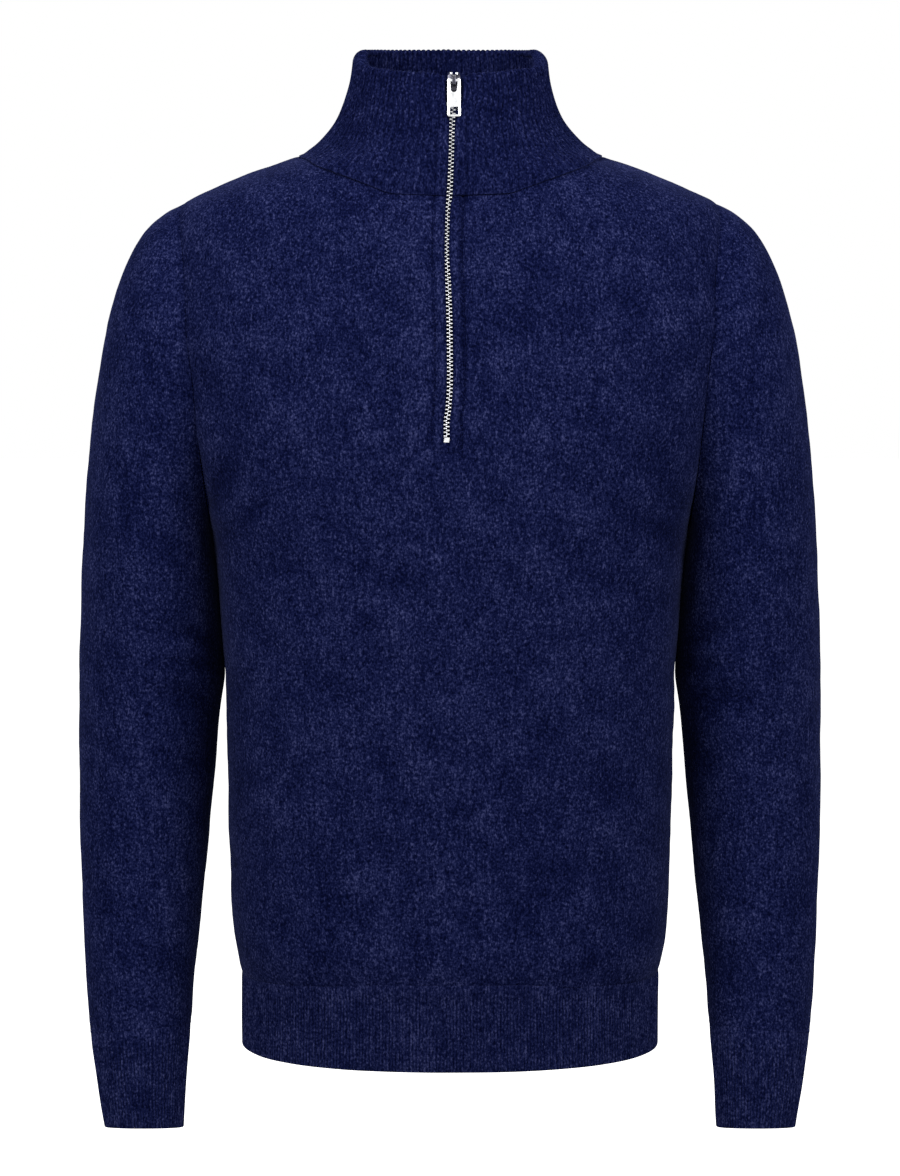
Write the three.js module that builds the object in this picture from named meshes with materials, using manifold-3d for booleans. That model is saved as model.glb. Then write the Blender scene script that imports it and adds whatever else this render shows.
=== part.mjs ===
// Quarter zip sweater in felted lambswool, filled out as it is when worn, and open at neck, hem and cuffs.
// Millimetres, +Z up, front towards -Y. Left and right are the wearer's, so the left sleeve lies at +X.
// The origin is where the neck carries it: midway between the two points where collar and shoulder seams meet.
import * as THREE from "three";
import { mergeVertices } from "three/addons/utils/BufferGeometryUtils.js";
import Module from "manifold-3d";

const wasm = await Module();
wasm.setup();

// Cloth and seams
const clothThickness = 2.4;
const seamGap = 0.3;
const ribRise = 0.8;
const innerPointEvery = 8;

// Body and hem
const hemBottom = -659;
const hemSeam = { side: -604, front: -595, back: -598 };
const hemRibsEachSide = 176;

// Armhole: an oval in side view, cut in the form's side
const armhole = { top: -35.5, bottom: -275, halfDepth: 60 };
const armholeSteps = 10;

// Cuffs
const cuffRibs = 80;

// Collar: a rib folded double, so it stands prouder than the body
const collarProud = 1.4;
const collarRibs = 112;
const collarRollSteps = 2;
const collarStandShares = [0, 0.12, 0.28, 0.52, 1];

// Zip: heights of its ends, and depths below the cloth's face
const slitBottom = -204.5;
const zipTapeTop = 54.2;
const zipTapeTongueTop = 59.5;
const zipTapeDepth = 3.6;
const zipTapeThickness = 0.8;
const zipChain = { bottom: -198.8, top: 48.1, halfWidth: 3, depth: 2.7, thickness: 2.6 };
const zipStopHeight = 3.7;
const zipSlider = { pivotHeight: 52, top: 5.8, bottom: -6.2, plate: 1.4, underPlate: -2.4, overBack: -5.6 };
const zipLip = {
  near: 3.4, far: 4.2, top: 1.4, aboveBottom: 1.2, depth: 0.75, backDepth: 0.6, bite: 0.3, radius: 0.15,
};
const zipPost = { halfWidth: 1, bottom: 1.6, belowTop: 0.6, bite: 0.4, radius: 0.9 };
const zipLoop = { halfLength: 3.2, halfWidth: 1.3, top: 5.3, bite: 0.4, radius: 1.6 };
const zipLoopHole = { halfLength: 2.2, bottom: 0.2, top: 4.5, radius: 1.2 };
const zipPull = { pivotRise: 3.2, thickness: 1.2, topEnd: 1.4, bottomEnd: -26.6, halfWidth: 4.7, radius: 1.1 };
const zipPullSlot = { radius: 2.5, top: -0.8, bottom: -6.3, notchHeight: 1.2 };
const zipPullWindow = { halfWidth: 3.15, bottom: 1.4, top: 7.1, radius: 0.5 };

// The slider's plates: half their width at each height, from the mouth over the closed teeth up to the nose.
const ZIP_PLATE = [
  { height: -6.2, halfWidth: 3.4 },
  { height: -5.2, halfWidth: 3.9 },
  { height: 1.5, halfWidth: 4.4 },
  { height: 4.8, halfWidth: 4.4 },
  { height: 5.8, halfWidth: 3.6 },
];

const degrees = Math.PI / 180;

// The body's form, a row a height: half its width, and how far front and back stand from the middle.
// Squareness is the power of the ring's curve: 2 is an ellipse, more is squarer.
const FORM = [
  { height: -659, halfWidth: 154.8, front: 111.0, back: 109.0, squareness: 2.3 },
  { height: -608, halfWidth: 154.8, front: 110.0, back: 107.5, squareness: 2.3 },
  { height: -597, halfWidth: 156.6, front: 111.4, back: 109.0, squareness: 2.35 },
  { height: -574, halfWidth: 161.0, front: 113.8, back: 109.5, squareness: 2.4 },
  { height: -545, halfWidth: 162.8, front: 113.8, back: 107.5, squareness: 2.4 },
  { height: -460, halfWidth: 164.8, front: 113.2, back: 103.0, squareness: 2.45 },
  { height: -374, halfWidth: 166.4, front: 115.0, back: 105.0, squareness: 2.5 },
  { height: -345, halfWidth: 168.4, front: 116.4, back: 107.5, squareness: 2.5 },
  { height: -304, halfWidth: 171.3, front: 118.0, back: 110.5, squareness: 2.5 },
  { height: -275, halfWidth: 175.0, front: 119.0, back: 113.0, squareness: 2.5 },
  { height: -259, halfWidth: 179.4, front: 119.3, back: 114.5, squareness: 2.5 },
  { height: -207, halfWidth: 193.8, front: 118.8, back: 118.5, squareness: 2.5 },
  { height: -163, halfWidth: 204.0, front: 115.6, back: 119.0, squareness: 2.45 },
  { height: -123, halfWidth: 210.5, front: 110.8, back: 117.0, squareness: 2.4 },
  { height: -90, halfWidth: 210.0, front: 104.8, back: 113.0, squareness: 2.3 },
  { height: -60, halfWidth: 206.5, front: 97.6, back: 106.0, squareness: 2.2 },
  { height: -45, halfWidth: 201.5, front: 93.4, back: 101.0, squareness: 2.15 },
  { height: -35.5, halfWidth: 194.6, front: 90.5, back: 97.5, squareness: 2.12 },
  { height: -24.5, halfWidth: 173.6, front: 87.6, back: 91.5, squareness: 2.08 },
  { height: -9.5, halfWidth: 136.2, front: 83.8, back: 83.0, squareness: 2.03 },
  { height: -2.3, halfWidth: 115.6, front: 82.0, back: 78.5, squareness: 2 },
  { height: 1, halfWidth: 104.6, front: 81.1, back: 76.2, squareness: 2 },
  { height: 10.5, halfWidth: 92.2, front: 78.5, back: 70.4, squareness: 2 },
  { height: 25.5, halfWidth: 80.4, front: 74.6, back: 64.4, squareness: 2 },
  { height: 41, halfWidth: 74.2, front: 70.7, back: 61.2, squareness: 2 },
  { height: 56, halfWidth: 70.4, front: 66.7, back: 60.0, squareness: 2 },
  { height: 73, halfWidth: 68.4, front: 62.3, back: 59.5, squareness: 2 },
];

// The seam between body and collar, by the angle from the front's or the back's centre.
const NECK_SEAM = [
  { angle: 0, front: -28.5, back: 8 },
  { angle: 25, front: -27, back: 7.6 },
  { angle: 34, front: -22.2, back: 7.2 },
  { angle: 42, front: -17.2, back: 6.6 },
  { angle: 60, front: -7.4, back: 4.8 },
  { angle: 70, front: -3, back: 2.8 },
  { angle: 90, front: 0, back: 0 },
];

// The collar's top edge, by the angle from the front's centre, and the radius that it rolls inwards with.
const COLLAR_EDGE = [
  { angle: 0, height: 58.6, roll: 4.2 },
  { angle: 25, height: 60, roll: 4.3 },
  { angle: 41, height: 61.6, roll: 4.6 },
  { angle: 56, height: 62.8, roll: 5.2 },
  { angle: 68, height: 65.4, roll: 6.4 },
  { angle: 80, height: 70.2, roll: 7.6 },
  { angle: 90, height: 74.6, roll: 8 },
  { angle: 100, height: 77, roll: 7.6 },
  { angle: 130, height: 77.5, roll: 5 },
  { angle: 180, height: 77.8, roll: 4.2 },
];

// The zip wanders a little as knit does, and the cloth's edges stand apart by twice the gap.
const ZIP_LINE = [
  { height: -210, across: -2.3, halfGap: 2.1 },
  { height: -199, across: -2.3, halfGap: 2.1 },
  { height: -189, across: -2.5, halfGap: 2.1 },
  { height: -179, across: -1.2, halfGap: 2.1 },
  { height: -158, across: 0, halfGap: 2.2 },
  { height: -116, across: -0.4, halfGap: 2.2 },
  { height: -95, across: -1.1, halfGap: 2.0 },
  { height: -66, across: -2.2, halfGap: 1.4 },
  { height: -38, across: -1.5, halfGap: 1.5 },
  { height: -28, across: -0.4, halfGap: 2.1 },
  { height: -4, across: 0.8, halfGap: 1.8 },
  { height: 28, across: 1.8, halfGap: 2.2 },
  { height: 42, across: 2.8, halfGap: 5.4 },
  { height: 66, across: 2.9, halfGap: 5.4 },
];

// The left sleeve, a ring a row, from the armhole to the cuff's seam: its outer and inner points in front view,
// half its depth, where its middle lies, how far its front edge tips up, and how much of the armhole's curve it keeps.
const SLEEVE = [
  { outX: 194.6, outZ: -35.5, inX: 175, inZ: -275, halfDepth: 60, middle: 0, tip: 0, armhole: 1 },
  { outX: 206, outZ: -39.8, inX: 175.9, inZ: -277.5, halfDepth: 61, middle: 0.5, tip: 0, armhole: 0.75 },
  { outX: 221, outZ: -53, inX: 175.6, inZ: -281, halfDepth: 62.5, middle: 1, tip: 0, armhole: 0.45 },
  { outX: 233.8, outZ: -72, inX: 175.1, inZ: -285, halfDepth: 64, middle: 2, tip: 0, armhole: 0.2 },
  { outX: 244, outZ: -96.5, inX: 174.4, inZ: -290, halfDepth: 65, middle: 3, tip: 0, armhole: 0.05 },
  { outX: 252.6, outZ: -127, inX: 173.4, inZ: -297, halfDepth: 66, middle: 4, tip: 0, armhole: 0 },
  { outX: 259.2, outZ: -163, inX: 172.3, inZ: -306, halfDepth: 66.5, middle: 5, tip: 0, armhole: 0 },
  { outX: 265, outZ: -206, inX: 171.2, inZ: -318, halfDepth: 66.5, middle: 6, tip: 0, armhole: 0 },
  { outX: 269.4, outZ: -252, inX: 170.2, inZ: -332, halfDepth: 66, middle: 7, tip: 0, armhole: 0 },
  { outX: 272.2, outZ: -296, inX: 169.2, inZ: -346, halfDepth: 65, middle: 8, tip: 0.5, armhole: 0 },
  { outX: 274, outZ: -334, inX: 168.3, inZ: -362, halfDepth: 63.5, middle: 9, tip: 1, armhole: 0 },
  { outX: 275.2, outZ: -366, inX: 167.4, inZ: -382, halfDepth: 62, middle: 9.5, tip: 1.5, armhole: 0 },
  { outX: 275.8, outZ: -404, inX: 170.8, inZ: -408, halfDepth: 59.5, middle: 10, tip: 2.5, armhole: 0 },
  { outX: 276, outZ: -452, inX: 174.6, inZ: -450, halfDepth: 54.5, middle: 7.5, tip: 4, armhole: 0 },
  { outX: 275.7, outZ: -498, inX: 178.9, inZ: -495, halfDepth: 50, middle: 3.5, tip: 5, armhole: 0 },
  { outX: 274, outZ: -548, inX: 183.6, inZ: -544, halfDepth: 45.5, middle: -2, tip: 6.5, armhole: 0 },
  { outX: 271.4, outZ: -600, inX: 188.8, inZ: -594.5, halfDepth: 41, middle: -9, tip: 8, armhole: 0 },
  { outX: 267.5, outZ: -649.4, inX: 192.9, inZ: -642, halfDepth: 35.1, middle: -16.6, tip: 9.5, armhole: 0 },
];

// The left cuff, in the same columns as the sleeve. Its first ring lies a seam's gap below the sleeve's last.
const CUFF = [
  { outX: 266.9, outZ: -649.7, inX: 193.4, inZ: -642.3, halfDepth: 34.9, middle: -16.6, tip: 9.5, armhole: 0 },
  { outX: 262, outZ: -685.6, inX: 196.4, inZ: -682.4, halfDepth: 32.3, middle: -22.5, tip: 10.5, armhole: 0 },
  { outX: 256.2, outZ: -718.8, inX: 198.4, inZ: -718.8, halfDepth: 30.5, middle: -27.5, tip: 11, armhole: 0 },
];

// The largest creases of the sleeve, where the arm's bend and the underarm crowd the cloth. Turn is the
// place round the sleeve, 90 at its front; along is the row that the crease crosses at that turn.
const CREASES = [
  { turn: 140, along: 10.6, spread: 34, width: 0.75, slant: 0.028, depth: 2.6 },
  { turn: 128, along: 12, spread: 30, width: 0.7, slant: -0.02, depth: 2.2 },
  { turn: 215, along: 11.2, spread: 36, width: 0.8, slant: -0.025, depth: 2.4 },
];

// Height rows of the two body panels below the underarm, and the share of the shoulder seam at each row above.
const BODY_ROWS = [-587, -566, -530, -480, -430, -374, -325, armhole.bottom];
const SHOULDER_SHARES = [0.33, 0.67, 1];
const slitRow = 4;
const frontTipCentre = armhole.bottom + (slitBottom - armhole.bottom) / armholeShare(slitRow);
const backTipCentre = -50;
const frontColumnsEachSide = 9;
const backColumns = 18;

// How far up the armhole its row number lies.
function armholeShare(row) {
  return (1 - Math.cos((Math.PI * row) / armholeSteps)) / 2;
}

// Reads a table's column at a place along its first column, on a smooth curve that never overshoots a row.
function read(table, key, column, at) {
  const last = table.length - 1;
  const place = Math.min(Math.max(at, table[0][key]), table[last][key]);
  let row = 0;
  while (row < last - 1 && place > table[row + 1][key]) row++;
  const slope = (i) => (table[i + 1][column] - table[i][column]) / (table[i + 1][key] - table[i][key]);
  const tangent = (i) => {
    if (i === 0) return slope(0);
    if (i === last) return slope(last - 1);
    const product = slope(i - 1) * slope(i);
    return product <= 0 ? 0 : (2 * product) / (slope(i - 1) + slope(i));
  };
  const span = table[row + 1][key] - table[row][key];
  const t = (place - table[row][key]) / span;
  const low = table[row][column] * (1 + 2 * t) * (1 - t) ** 2 + tangent(row) * span * t * (1 - t) ** 2;
  return low + table[row + 1][column] * t * t * (3 - 2 * t) - tangent(row + 1) * span * t * t * (1 - t);
}

// The form's ring at a height: its half width, its depth on the side asked for, and its squareness.
function ringAt(height, facesFront) {
  return {
    width: read(FORM, "height", "halfWidth", height),
    depth: read(FORM, "height", facesFront ? "front" : "back", height),
    power: read(FORM, "height", "squareness", height),
  };
}

// A point of the form. The angle turns from the front's centre towards +X, seen from above.
function formPoint(angle, height) {
  const { width, depth, power } = ringAt(height, Math.cos(angle) >= 0);
  const across = Math.abs(Math.sin(angle) / width) ** power;
  const along = Math.abs(Math.cos(angle) / depth) ** power;
  const radius = (across + along) ** (-1 / power);
  return new THREE.Vector3(radius * Math.sin(angle), -radius * Math.cos(angle), height);
}

function formNormal(angle, height) {
  const step = 0.002;
  const across = formPoint(angle + step, height).sub(formPoint(angle - step, height));
  const upwards = formPoint(angle, height + 0.5).sub(formPoint(angle, height - 0.5));
  return across.cross(upwards).normalize();
}

function formUpwards(angle, height) {
  return formPoint(angle, height + 0.5).sub(formPoint(angle, height - 0.5)).normalize();
}

// The point of the form, moved out along its normal. A negative rise moves it in.
function onForm(angle, height, rise = 0) {
  return formPoint(angle, height).addScaledVector(formNormal(angle, height), rise);
}

// The angle at which the form's ring stands a given distance forward of the middle.
function angleAtDepth(height, forward) {
  const { width, depth, power } = ringAt(height, forward >= 0);
  const across = width * (1 - (Math.abs(forward) / depth) ** power) ** (1 / power);
  return Math.atan2(across, forward);
}

// The angle at which the front of the form's ring lies a given distance across from the middle.
function angleAcross(height, across) {
  const { width, depth, power } = ringAt(height, true);
  return Math.atan2(across, depth * (1 - (Math.abs(across) / width) ** power) ** (1 / power));
}

// Where the armhole's oval cuts the form. Turn is 0 at the shoulder, 90 degrees at the front.
function armholeOnForm(turn, inset) {
  const middle = (armhole.top + armhole.bottom) / 2;
  const halfHeight = (armhole.top - armhole.bottom) / 2 - inset;
  const height = middle + halfHeight * Math.cos(turn);
  return { height, angle: angleAtDepth(height, (armhole.halfDepth - inset) * Math.sin(turn)) };
}

function geometryOf(points, triangles) {
  const flat = points.flatMap((p) => [p.x, p.y, p.z]);
  let volume = 0;
  for (let i = 0; i < triangles.length; i += 3) {
    const [a, b, c] = triangles.slice(i, i + 3).map((k) => points[k]);
    volume += a.dot(new THREE.Vector3().crossVectors(b, c));
  }
  const outward = volume > 0 ? triangles : [...triangles].reverse();
  const geometry = new THREE.BufferGeometry();
  geometry.setAttribute("position", new THREE.Float32BufferAttribute(flat, 3));
  geometry.setIndex(outward);
  geometry.computeVertexNormals();
  return geometry;
}

// A closed wall of cloth: a grid of outer points over a grid of inner points that has one column in innerEvery.
// keep says which cells are cloth, so that a slit can be left open. A closed grid joins its last column to its first.
function wall({ rows, columns, closed = false, innerEvery = 1, outer, inner, keep = () => true }) {
  const points = [];
  const triangles = [];
  const add = (point) => points.push(point) - 1;
  const count = closed ? columns : columns + 1;
  const outerAt = [];
  const innerAt = [];
  for (let i = 0; i <= rows; i++) {
    outerAt.push(Array.from({ length: count }, (_, j) => add(outer(i, j))));
    innerAt.push(Array.from({ length: count }, (_, j) => (j % innerEvery ? -1 : add(inner(i, j)))));
  }
  const out = (i, j) => outerAt[i][j % count];
  const inn = (i, j) => innerAt[i][j % count];
  const quad = (a, b, c, d) => {
    const firstIsShorter = points[a].distanceTo(points[c]) <= points[b].distanceTo(points[d]);
    triangles.push(...(firstIsShorter ? [a, b, c, a, c, d] : [a, b, d, b, c, d]));
  };
  const kept = (i, j) => {
    const inside = i >= 0 && i < rows && (closed || (j >= 0 && j < columns));
    return inside && keep(i, (j + columns) % columns);
  };
  for (let i = 0; i < rows; i++) {
    for (let j = 0; j < columns; j += innerEvery) {
      if (!kept(i, j)) continue;
      const end = j + innerEvery;
      for (let k = j; k < end; k++) quad(out(i, k), out(i, k + 1), out(i + 1, k + 1), out(i + 1, k));
      quad(inn(i, end), inn(i, j), inn(i + 1, j), inn(i + 1, end));
      if (!kept(i, j - innerEvery)) quad(out(i, j), out(i + 1, j), inn(i + 1, j), inn(i, j));
      if (!kept(i, end)) quad(out(i + 1, end), out(i, end), inn(i, end), inn(i + 1, end));
      const middle = j + Math.ceil(innerEvery / 2);
      for (const [row, open] of [[i, !kept(i - 1, j)], [i + 1, !kept(i + 1, j)]]) {
        if (!open) continue;
        const edge = (a, b, c) => triangles.push(...(row === i ? [b, a, c] : [a, b, c]));
        for (let k = j; k < end; k++) edge(out(row, k), out(row, k + 1), inn(row, k < middle ? j : end));
        edge(inn(row, j), out(row, middle), inn(row, end));
      }
    }
  }
  return geometryOf(points, triangles);
}

// The rows that both body panels share at their sides, and each panel's height at its centre in that row.
const panelRows = [{ ...hemSeam, turn: Math.PI }];
BODY_ROWS.forEach((height) => panelRows.push({ side: height, front: height, back: height, turn: Math.PI }));
for (let k = 1; k <= armholeSteps; k++) {
  const turn = Math.PI * (1 - k / armholeSteps);
  const share = armholeShare(k);
  panelRows.push({
    side: armholeOnForm(turn, 0).height,
    front: armhole.bottom + share * (frontTipCentre - armhole.bottom),
    back: armhole.bottom + share * (backTipCentre - armhole.bottom),
    turn,
  });
}
SHOULDER_SHARES.forEach((share) => {
  panelRows.push({
    side: armhole.top * (1 - share),
    front: frontTipCentre + share * (NECK_SEAM[0].front - frontTipCentre),
    back: backTipCentre + share * (NECK_SEAM[0].back - backTipCentre),
    turn: 0,
  });
});

// The angle from a panel's centre to its side edge in a row: at the side and shoulder seams, or at the armhole.
function sideAngle(row, face) {
  const seam = Math.PI / 2 - seamGap / 2 / ringAt(row.side, true).width;
  if (row.turn <= 0 || row.turn >= Math.PI) return seam;
  const forward = armhole.halfDepth * Math.sin(row.turn);
  const fromFront = angleAtDepth(row.side, face === "front" ? forward : -forward);
  return Math.min(seam, face === "front" ? fromFront : Math.PI - fromFront);
}

// A row's height rises from its centre to its side as the neck's seam does.
function heightInRow(row, face, shareOfSide) {
  const centre = NECK_SEAM[0][face];
  const rise = (read(NECK_SEAM, "angle", face, 90 * shareOfSide) - centre) / -centre;
  return row[face] + (row.side - row[face]) * rise;
}

function slitAngle(height, side) {
  const across = read(ZIP_LINE, "height", "across", height);
  return angleAcross(height, across + side * read(ZIP_LINE, "height", "halfGap", height));
}

// The place on the form of a front panel's grid point. The two middle columns are the slit's edges.
function frontPlace(i, j) {
  const row = panelRows[i];
  const side = j <= frontColumnsEachSide ? -1 : 1;
  const share = (side < 0 ? frontColumnsEachSide - j : j - frontColumnsEachSide - 1) / frontColumnsEachSide;
  const edge = slitAngle(row.front, side);
  const end = sideAngle(row, "front");
  const angle = edge + share * (side * end - edge);
  return { angle, height: heightInRow(row, "front", Math.abs(angle) / end) };
}

function backPlace(i, j) {
  const row = panelRows[i];
  const share = (2 * j) / backColumns - 1;
  const end = sideAngle(row, "back");
  return { angle: Math.PI + share * end, height: heightInRow(row, "back", Math.abs(share)) };
}

function clothGrid(place) {
  return {
    outer: (i, j) => onForm(place(i, j).angle, place(i, j).height),
    inner: (i, j) => onForm(place(i, j).angle, place(i, j).height, -clothThickness),
  };
}

function frontBody() {
  return wall({
    rows: panelRows.length - 1,
    columns: 2 * frontColumnsEachSide + 1,
    ...clothGrid(frontPlace),
    keep: (i, j) => j !== frontColumnsEachSide || panelRows[i].front < slitBottom - 1,
  });
}

function backBody() {
  return wall({ rows: panelRows.length - 1, columns: backColumns, ...clothGrid(backPlace) });
}

// Shares of the way along a curve at equal distances, for ribs that are all as wide.
function equalShares(curve, count) {
  const samples = 720;
  const lengths = [0];
  for (let k = 1; k <= samples; k++) {
    lengths.push(lengths[k - 1] + curve((k - 1) / samples).distanceTo(curve(k / samples)));
  }
  const shares = [];
  let k = 0;
  for (let n = 0; n <= count; n++) {
    const target = (lengths[samples] * n) / count;
    while (k < samples - 1 && lengths[k + 1] < target) k++;
    shares.push((k + (target - lengths[k]) / (lengths[k + 1] - lengths[k])) / samples);
  }
  return shares;
}

const ribHeight = (j) => (j % 2 ? ribRise : 0);

// One half of the hem: a straight rib between the two side seams.
function hemRib(centreAngle, face) {
  const columns = 2 * hemRibsEachSide;
  const half = Math.PI / 2 - seamGap / 2 / ringAt(hemBottom, true).width;
  const angleOf = (share) => centreAngle + (2 * share - 1) * half;
  const shares = equalShares((share) => formPoint(angleOf(share), hemBottom), columns);
  const point = (i, j, rise) => {
    const angle = angleOf(shares[j]);
    const seam = heightInRow(panelRows[0], face, Math.abs(2 * shares[j] - 1)) - seamGap;
    const height = i === 0 ? hemBottom : seam;
    const level = formNormal(angle, height).setZ(0).normalize();
    return formPoint(angle, height).addScaledVector(level, rise);
  };
  return wall({
    rows: 1,
    columns,
    innerEvery: innerPointEvery,
    outer: (i, j) => point(i, j, ribHeight(j)),
    inner: (i, j) => point(i, j, -clothThickness),
  });
}

// The body panels' top edges as one list of places round the neck, for the collar's seam to follow.
function neckEdge() {
  const top = panelRows.length - 1;
  const frontPlaces = [];
  for (let j = 0; j <= 2 * frontColumnsEachSide + 1; j++) frontPlaces.push(frontPlace(top, j));
  const backPlaces = Array.from({ length: backColumns + 1 }, (_, j) => backPlace(top, j));
  const right = frontPlaces.slice(0, frontColumnsEachSide + 1);
  const left = frontPlaces.slice(frontColumnsEachSide + 1);
  const wrapped = right.map(({ angle, height }) => ({ angle: angle + 2 * Math.PI, height }));
  return [...left, ...backPlaces, ...wrapped].map(({ angle, height }) => ({
    angle,
    outer: onForm(angle, height),
    inner: onForm(angle, height, -clothThickness),
    normal: formNormal(angle, height),
    upwards: formUpwards(angle, height),
  }));
}

function alongEdge(edge, angle) {
  let k = 0;
  while (k < edge.length - 2 && angle > edge[k + 1].angle) k++;
  const share = (angle - edge[k].angle) / (edge[k + 1].angle - edge[k].angle);
  const between = (name) => edge[k][name].clone().lerp(edge[k + 1][name], share);
  return { outer: between("outer"), inner: between("inner"), normal: between("normal"), upwards: between("upwards") };
}

// The collar: a ribbed funnel from the neck's seam to a soft rolled edge, open at the zip.
// The roll is a quarter turn whose inner radius is the outer one less the folded rib's thickness.
function collar() {
  const thickness = collarProud + clothThickness;
  const columns = 2 * collarRibs;
  const standSteps = collarStandShares.length - 1;
  const rows = standSteps + collarRollSteps;
  const middleHeight = 20;
  const angleAt = (share, height) => {
    const start = slitAngle(height, 1);
    return start + share * (2 * Math.PI + slitAngle(height, -1) - start);
  };
  const shares = equalShares((share) => formPoint(angleAt(share, middleHeight), middleHeight), columns);
  const edge = neckEdge();
  const fromFront = (angle) => (Math.PI - Math.abs(Math.PI - angle)) / degrees;
  const point = (i, j, outside) => {
    const seamAngle = angleAt(shares[j], NECK_SEAM[0].front);
    const rise = outside ? collarProud + ribHeight(j) : -clothThickness;
    if (i === 0) {
      const seam = alongEdge(edge, seamAngle);
      const foot = outside ? seam.outer.addScaledVector(seam.normal, rise) : seam.inner;
      return foot.addScaledVector(seam.upwards, seamGap);
    }
    const start = alongEdge(edge, seamAngle).outer.z;
    const top = read(COLLAR_EDGE, "angle", "height", fromFront(seamAngle));
    const roll = read(COLLAR_EDGE, "angle", "roll", fromFront(seamAngle));
    const standTop = top - roll;
    const height = start + (standTop - start) * collarStandShares[Math.min(i, standSteps)];
    const angle = angleAt(shares[j], height);
    if (i <= standSteps) return onForm(angle, height, rise);
    const bend = ((i - standSteps) / collarRollSteps) * 90 * degrees;
    const radius = outside ? roll + ribHeight(j) : roll - thickness;
    const centre = onForm(angle, standTop, collarProud - roll);
    const normal = formNormal(angle, standTop);
    return centre.addScaledVector(normal, radius * Math.cos(bend)).add(new THREE.Vector3(0, 0, radius * Math.sin(bend)));
  };
  return wall({
    rows,
    columns,
    innerEvery: innerPointEvery,
    outer: (i, j) => point(i, j, true),
    inner: (i, j) => point(i, j, false),
  });
}

// One point of a sleeve's or cuff's ring, before creases. side is 1 at the left and -1 at the right.
function ringPoint(row, turn) {
  const middle = new THREE.Vector3((row.outX + row.inX) / 2, row.middle, (row.outZ + row.inZ) / 2);
  const outwards = new THREE.Vector3((row.outX - row.inX) / 2, 0, (row.outZ - row.inZ) / 2);
  const forwards = new THREE.Vector3(0, -Math.cos(row.tip * degrees), Math.sin(row.tip * degrees));
  middle.addScaledVector(outwards, Math.cos(turn)).addScaledVector(forwards, row.halfDepth * Math.sin(turn));
  return middle;
}

// The direction out of the ring in its own plane.
function ringNormal(row, turn) {
  const tangent = ringPoint(row, turn + 0.01).sub(ringPoint(row, turn - 0.01));
  const outwards = new THREE.Vector3(row.outX - row.inX, 0, row.outZ - row.inZ);
  const forwards = new THREE.Vector3(0, -Math.cos(row.tip * degrees), Math.sin(row.tip * degrees));
  return tangent.cross(outwards.cross(forwards)).normalize();
}

function creaseDepth(rowIndex, turn) {
  return CREASES.reduce((sum, crease) => {
    const round = turn / degrees - crease.turn;
    const along = rowIndex - crease.along - crease.slant * round;
    return sum + crease.depth * Math.exp(-((round / crease.spread) ** 2) - (along / crease.width) ** 2);
  }, 0);
}

function sleeve(side) {
  const columns = 2 * armholeSteps;
  const point = (i, j, inwards) => {
    const row = SLEEVE[i];
    const turn = (j / columns) * 2 * Math.PI;
    const cut = armholeOnForm(turn, seamGap);
    const moved = ringPoint(row, turn);
    moved.addScaledVector(formPoint(cut.angle, cut.height).sub(ringPoint(SLEEVE[0], turn)), row.armhole);
    const normal = ringNormal(row, turn);
    if (i === 0) normal.add(formNormal(cut.angle, cut.height)).normalize();
    moved.addScaledVector(normal, -inwards - creaseDepth(i, turn));
    return moved.setX(side * moved.x);
  };
  return wall({
    rows: SLEEVE.length - 1,
    columns,
    closed: true,
    outer: (i, j) => point(i, j, 0),
    inner: (i, j) => point(i, j, clothThickness),
  });
}

function cuff(side) {
  const columns = 2 * cuffRibs;
  const shares = equalShares((share) => ringPoint(CUFF[1], share * 2 * Math.PI), columns);
  const point = (i, j, rise) => {
    const turn = shares[j] * 2 * Math.PI;
    const moved = ringPoint(CUFF[i], turn).addScaledVector(ringNormal(CUFF[i], turn), rise);
    return moved.setX(side * moved.x);
  };
  return wall({
    rows: CUFF.length - 1,
    columns,
    closed: true,
    innerEvery: innerPointEvery,
    outer: (i, j) => point(i, j, ribHeight(j)),
    inner: (i, j) => point(i, j, -clothThickness),
  });
}

// A flat strip that follows the zip's line: across gives its edges, measured from that line.
function zipStrip({ across, depths, thickness, heights, keep }) {
  const place = (i, j, extra) => {
    const height = heights[i];
    const angle = angleAcross(height, read(ZIP_LINE, "height", "across", height) + across[j]);
    return onForm(angle, height, -depths[j] - extra);
  };
  return wall({
    rows: heights.length - 1,
    columns: across.length - 1,
    outer: (i, j) => place(i, j, 0),
    inner: (i, j) => place(i, j, thickness),
    keep,
  });
}

function evenly(from, to, steps) {
  return Array.from({ length: steps + 1 }, (_, k) => from + ((to - from) * k) / steps);
}

const zipRows = evenly(zipChain.bottom, zipChain.top, 16);

// A zip tape: flat against the cloth's back where it is sewn, lower beside the teeth. A tongue carries the top stop.
function zipTape(side) {
  const edges = [3.3, 4.7, 8.5, 14.5].map((distance) => side * distance);
  const againstCloth = clothThickness + 2 * seamGap;
  return zipStrip({
    across: side > 0 ? edges : edges.reverse(),
    depths: side > 0
      ? [zipTapeDepth, zipTapeDepth, againstCloth, againstCloth]
      : [againstCloth, againstCloth, zipTapeDepth, zipTapeDepth],
    thickness: zipTapeThickness,
    heights: [slitBottom - 3, ...zipRows, zipTapeTop, zipTapeTongueTop],
    keep: (i, j) => i < zipRows.length + 1 || j === (side > 0 ? 0 : 2),
  });
}

function zipTeeth() {
  return zipStrip({
    across: [-zipChain.halfWidth, zipChain.halfWidth],
    depths: [zipChain.depth, zipChain.depth],
    thickness: zipChain.thickness,
    heights: zipRows,
  });
}

function zipBottomStop() {
  return zipStrip({
    across: [-zipChain.halfWidth, zipChain.halfWidth],
    depths: [zipChain.depth, zipChain.depth],
    thickness: zipChain.thickness,
    heights: [zipChain.bottom - seamGap - zipStopHeight, zipChain.bottom - seamGap],
  });
}

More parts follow.
